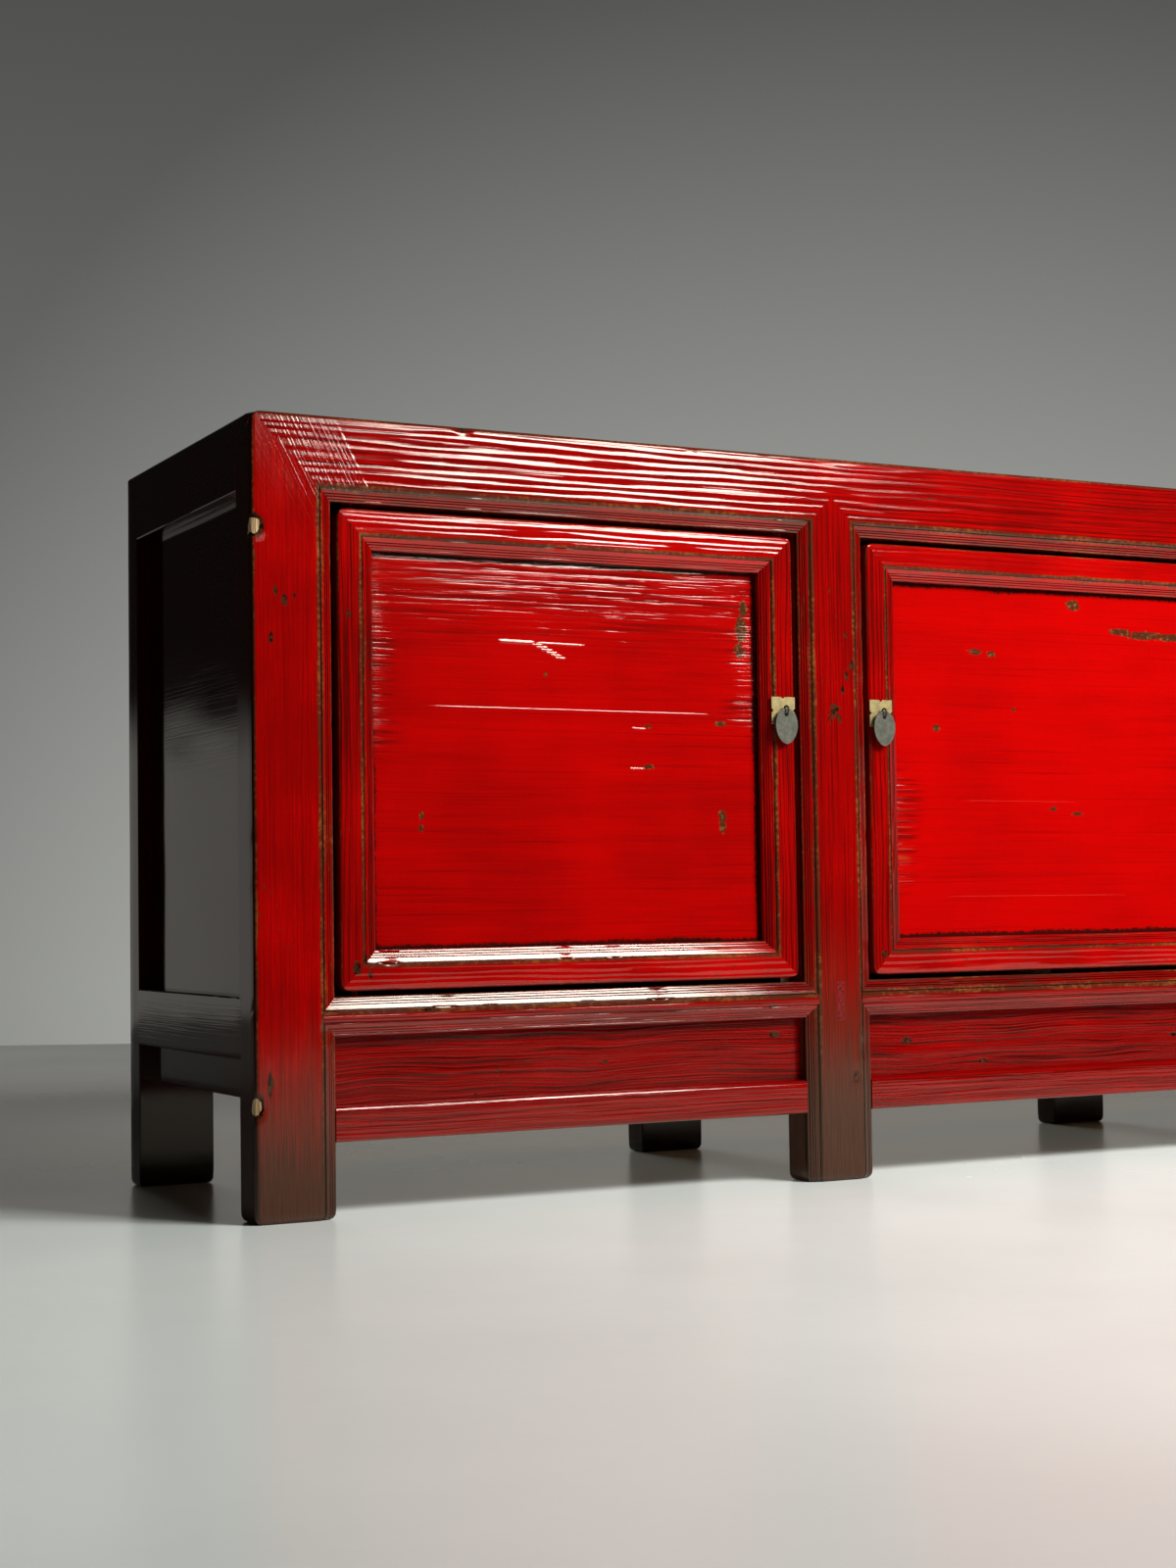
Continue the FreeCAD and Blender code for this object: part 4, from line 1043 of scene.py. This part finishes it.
def split_pin(name, centre, back, finish):
    """A wire bent into an eye at the front, with its two legs through the door and spread behind it."""
    legs = []
    for side in (-1, 1):
        sideways_and_back = ((side * LEG_SPREAD, back + WIRE), (side * 0.5 * LEG_SPREAD, back + 0.9 * WIRE),
                             (side * 1.0 * MM, back + 0.5 * WIRE), (0.0, back - 3 * MM),
                             (0.0, centre.y + EYE + 5 * MM), (0.0, centre.y + EYE + 1 * MM))
        legs.append([(x, y, side * LEG_APART) for x, y in sideways_and_back])
    loop = []
    for turn in range(1, EYE_POINTS):
        angle = math.pi + turn / EYE_POINTS * math.tau
        loop.append((0.0, centre.y - EYE * math.cos(angle), EYE * math.sin(angle)))
    route = legs[0] + loop + legs[1][::-1]
    curve = bpy.data.curves.new(name, "CURVE")
    curve.dimensions = "3D"
    curve.bevel_depth = WIRE
    curve.bevel_resolution = 4
    curve.use_fill_caps = True
    spline = curve.splines.new("NURBS")
    spline.points.add(len(route) - 1)
    for point, (x, y, z) in zip(spline.points, route):
        point.co = (centre.x + x, y, centre.z + z, 1)
    spline.order_u = 3
    spline.use_endpoint_u = True
    drawn = put(f"{name}_route", curve)
    bpy.context.view_layer.update()
    data = bpy.data.meshes.new_from_object(drawn.evaluated_get(bpy.context.evaluated_depsgraph_get()))
    bpy.data.objects.remove(drawn)
    data.name = name
    data.shade_smooth()
    data.materials.clear()
    data.materials.append(finish)
    return put(name, data)


PIN_HOLE = 1.9 * MM
PLATE_RIM = 0.45 * MM
DROP_HOLE = 2.2 * MM
DROP_HOLE_DOWN = 7.8 * MM
DROP_RIM = 0.6 * MM
plate_brass = brass("plate_brass", (0.41, 0.32, 0.125, 1), (0.27, 0.21, 0.09, 1), 0.5)
drop_brass = brass("drop_brass", (0.125, 0.122, 0.092, 1), (0.075, 0.073, 0.055, 1), 0.5)
pin_brass = brass("pin_brass", (0.06, 0.05, 0.035, 1), (0.02, 0.017, 0.013, 1), 0.35)
for number in range(1, 4):
    pull = f"door_{number}_pull"
    low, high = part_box(f"{pull}_plate")
    middle = (low + high) / 2
    loops = [plate_outline(middle.x, middle.z, (high.x - low.x) / 2),
             ring(middle.x, middle.z, PIN_HOLE, 16)]
    plate = cut_sheet(f"{pull}_plate_cut", loops, low.y, high.y - low.y, PLATE_RIM, plate_brass)
    hang(plate, f"door_{number}", f"{pull}_plate")
    low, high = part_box(f"{pull}_drop")
    loops = [leaf_outline(middle.x, low.z, high.z, (high.x - low.x) / 2),
             ring(middle.x, high.z - DROP_HOLE_DOWN, DROP_HOLE, 20)]
    drop = cut_sheet(f"{pull}_drop_cut", loops, low.y, high.y - low.y, DROP_RIM, drop_brass)
    hang(drop, f"drop_{number}", f"{pull}_drop")
    swing = Vector(joints[f"drop_{number}_swing"]["pos_m"])
    pin = split_pin(f"{pull}_pin_bent", swing, doors[number][1].y, pin_brass)
    hang(pin, f"door_{number}", f"{pull}_pin")

# The place it stands in: a plain pale floor with a slight polish and a grey surround, seen from the
# photograph's viewpoint. Of four soft lamps the key stands at the front right, another lights the
# right half, a faint one stands in front and a strip behind.

CAMERA_PLACE = Vector((-1.89286, -2.59511, 0.32607))
CAMERA_RIGHT = Vector((0.888751, -0.458156, -0.014684))
CAMERA_UP = Vector((-0.009959, -0.051326, 0.998632))
camera = bpy.data.cameras.new("camera")
camera.sensor_width = 36
camera.lens = 55.13
holder = put("camera", camera)
turned = Matrix((CAMERA_RIGHT, CAMERA_UP, CAMERA_RIGHT.cross(CAMERA_UP))).transposed()
holder.matrix_world = Matrix.Translation(CAMERA_PLACE) @ turned.to_4x4()
bpy.context.scene.camera = holder
bpy.context.scene.view_settings.view_transform = "Standard"

FLOOR_REACH = 9
FLOOR_END = 5.95
FLOOR_DULL = (0.80, 0.845, 0.79, 1)
FLOOR_PALE = (0.855, 0.90, 0.84, 1)
heading = Vector((-CAMERA_RIGHT.y, CAMERA_RIGHT.x, 0)).normalized()
sideways = Vector((heading.y, -heading.x, 0))
floor_start = Vector((CAMERA_PLACE.x, CAMERA_PLACE.y, 0))
floor_mesh = bpy.data.meshes.new("floor")
floor_corners = ((-FLOOR_REACH, -FLOOR_REACH), (-FLOOR_REACH, FLOOR_REACH),
                 (FLOOR_END, FLOOR_REACH), (FLOOR_END, -FLOOR_REACH))
floor_places = [floor_start + heading * along + sideways * across for along, across in floor_corners]
floor_mesh.from_pydata(floor_places, [], [(0, 1, 2, 3)])
floor = put("floor", floor_mesh)
paint = Finish("floor_paint")
spot = paint.place()
mottle = paint.cloud(spot, (1.5, 1.5, 1), detail=4)
pale = paint.blend(mottle.ease(0.3, 0.7), FLOOR_DULL, FLOOR_PALE)
relief = paint.cloud(spot, (30, 30, 1), detail=3) * (0.15 * MM)
floor_mesh.materials.append(paint.close(pale, mottle * 0.12 + 0.2, relief, **{"Specular IOR Level": 0.25}))

BRIGHTEST_TURN = 0.1
surround = Finish("surround", bpy.data.worlds)
bpy.context.scene.world = surround.material
way = surround.make("TexCoord", {}, "Generated")
rise = way.parts()[2]
brightest = (heading * math.cos(BRIGHTEST_TURN) + sideways * math.sin(BRIGHTEST_TURN)).normalized()
facing = surround.make("VectorMath", {0: way, 1: brightest}, "Value", operation="DOT_PRODUCT")
level = surround.make("MapRange", {"Value": rise, "From Min": -0.03, "From Max": 0.36,
                                   "To Min": 0.48, "To Max": 0.18})
sweep = surround.make("MapRange", {"Value": facing, "From Min": 0.92, "From Max": 1.0,
                                   "To Min": 0.45, "To Max": 1.0})
glimpse = rise.ease(0.09, 0.06) * facing.ease(0.2, 0.4) * facing.ease(0.85, 0.7) * 0.34
behind = level * facing.ease(0.7, 0.97)
seen = surround.make("Background", {"Color": (0.985, 1.0, 0.95, 1), "Strength": level * sweep})
mirrored = surround.make("Background", {"Color": (1.0, 0.97, 0.9, 1), "Strength": glimpse + behind + 0.012})
lit = surround.make("Background", {"Color": (1.0, 0.98, 0.95, 1), "Strength": 0.008})
glossy = surround.make("LightPath", {}, "Is Glossy Ray")
direct = surround.make("LightPath", {}, "Is Camera Ray")
soft = surround.make("MixShader", {0: glossy, 1: lit, 2: mirrored})
surround.add("OutputWorld", {"Surface": surround.make("MixShader", {0: direct, 1: soft, 2: seen})})


def softbox(name, place, target, width, height, watts, cone=180, is_mirrored=True):
    """A flat soft lamp that stands at a place and faces another, with its light kept to a cone. One
    that isn't mirrored lights the wood and leaves no highlight."""
    lamp = bpy.data.lights.new(name, "AREA")
    lamp.shape = "RECTANGLE"
    lamp.size = width
    lamp.size_y = height
    lamp.energy = watts
    lamp.spread = math.radians(cone)
    stand = put(name, lamp)
    stand.visible_glossy = is_mirrored
    stand.location = place
    stand.rotation_euler = (stand.location - Vector(target)).to_track_quat("Z", "Y").to_euler()


softbox("key_softbox", (0.36, -1.92, 1.80), (-0.62, -0.2, 0.4), width=0.85, height=0.8, watts=46, cone=150)
softbox("side_softbox", (1.45, -2.1, 1.85), (0.1, -0.2, 0.45), width=1.0, height=0.8, watts=32, cone=150,
        is_mirrored=False)
softbox("front_softbox", (0.08, -4.08, 2.2), (-0.95, -0.2, 0.55), width=1.05, height=1.2, watts=8)
softbox("back_softbox", (0.1, 2.6, 0.55), (0.1, 0.2, 0.5), width=2.2, height=0.4, watts=5.5, cone=40,
        is_mirrored=False)
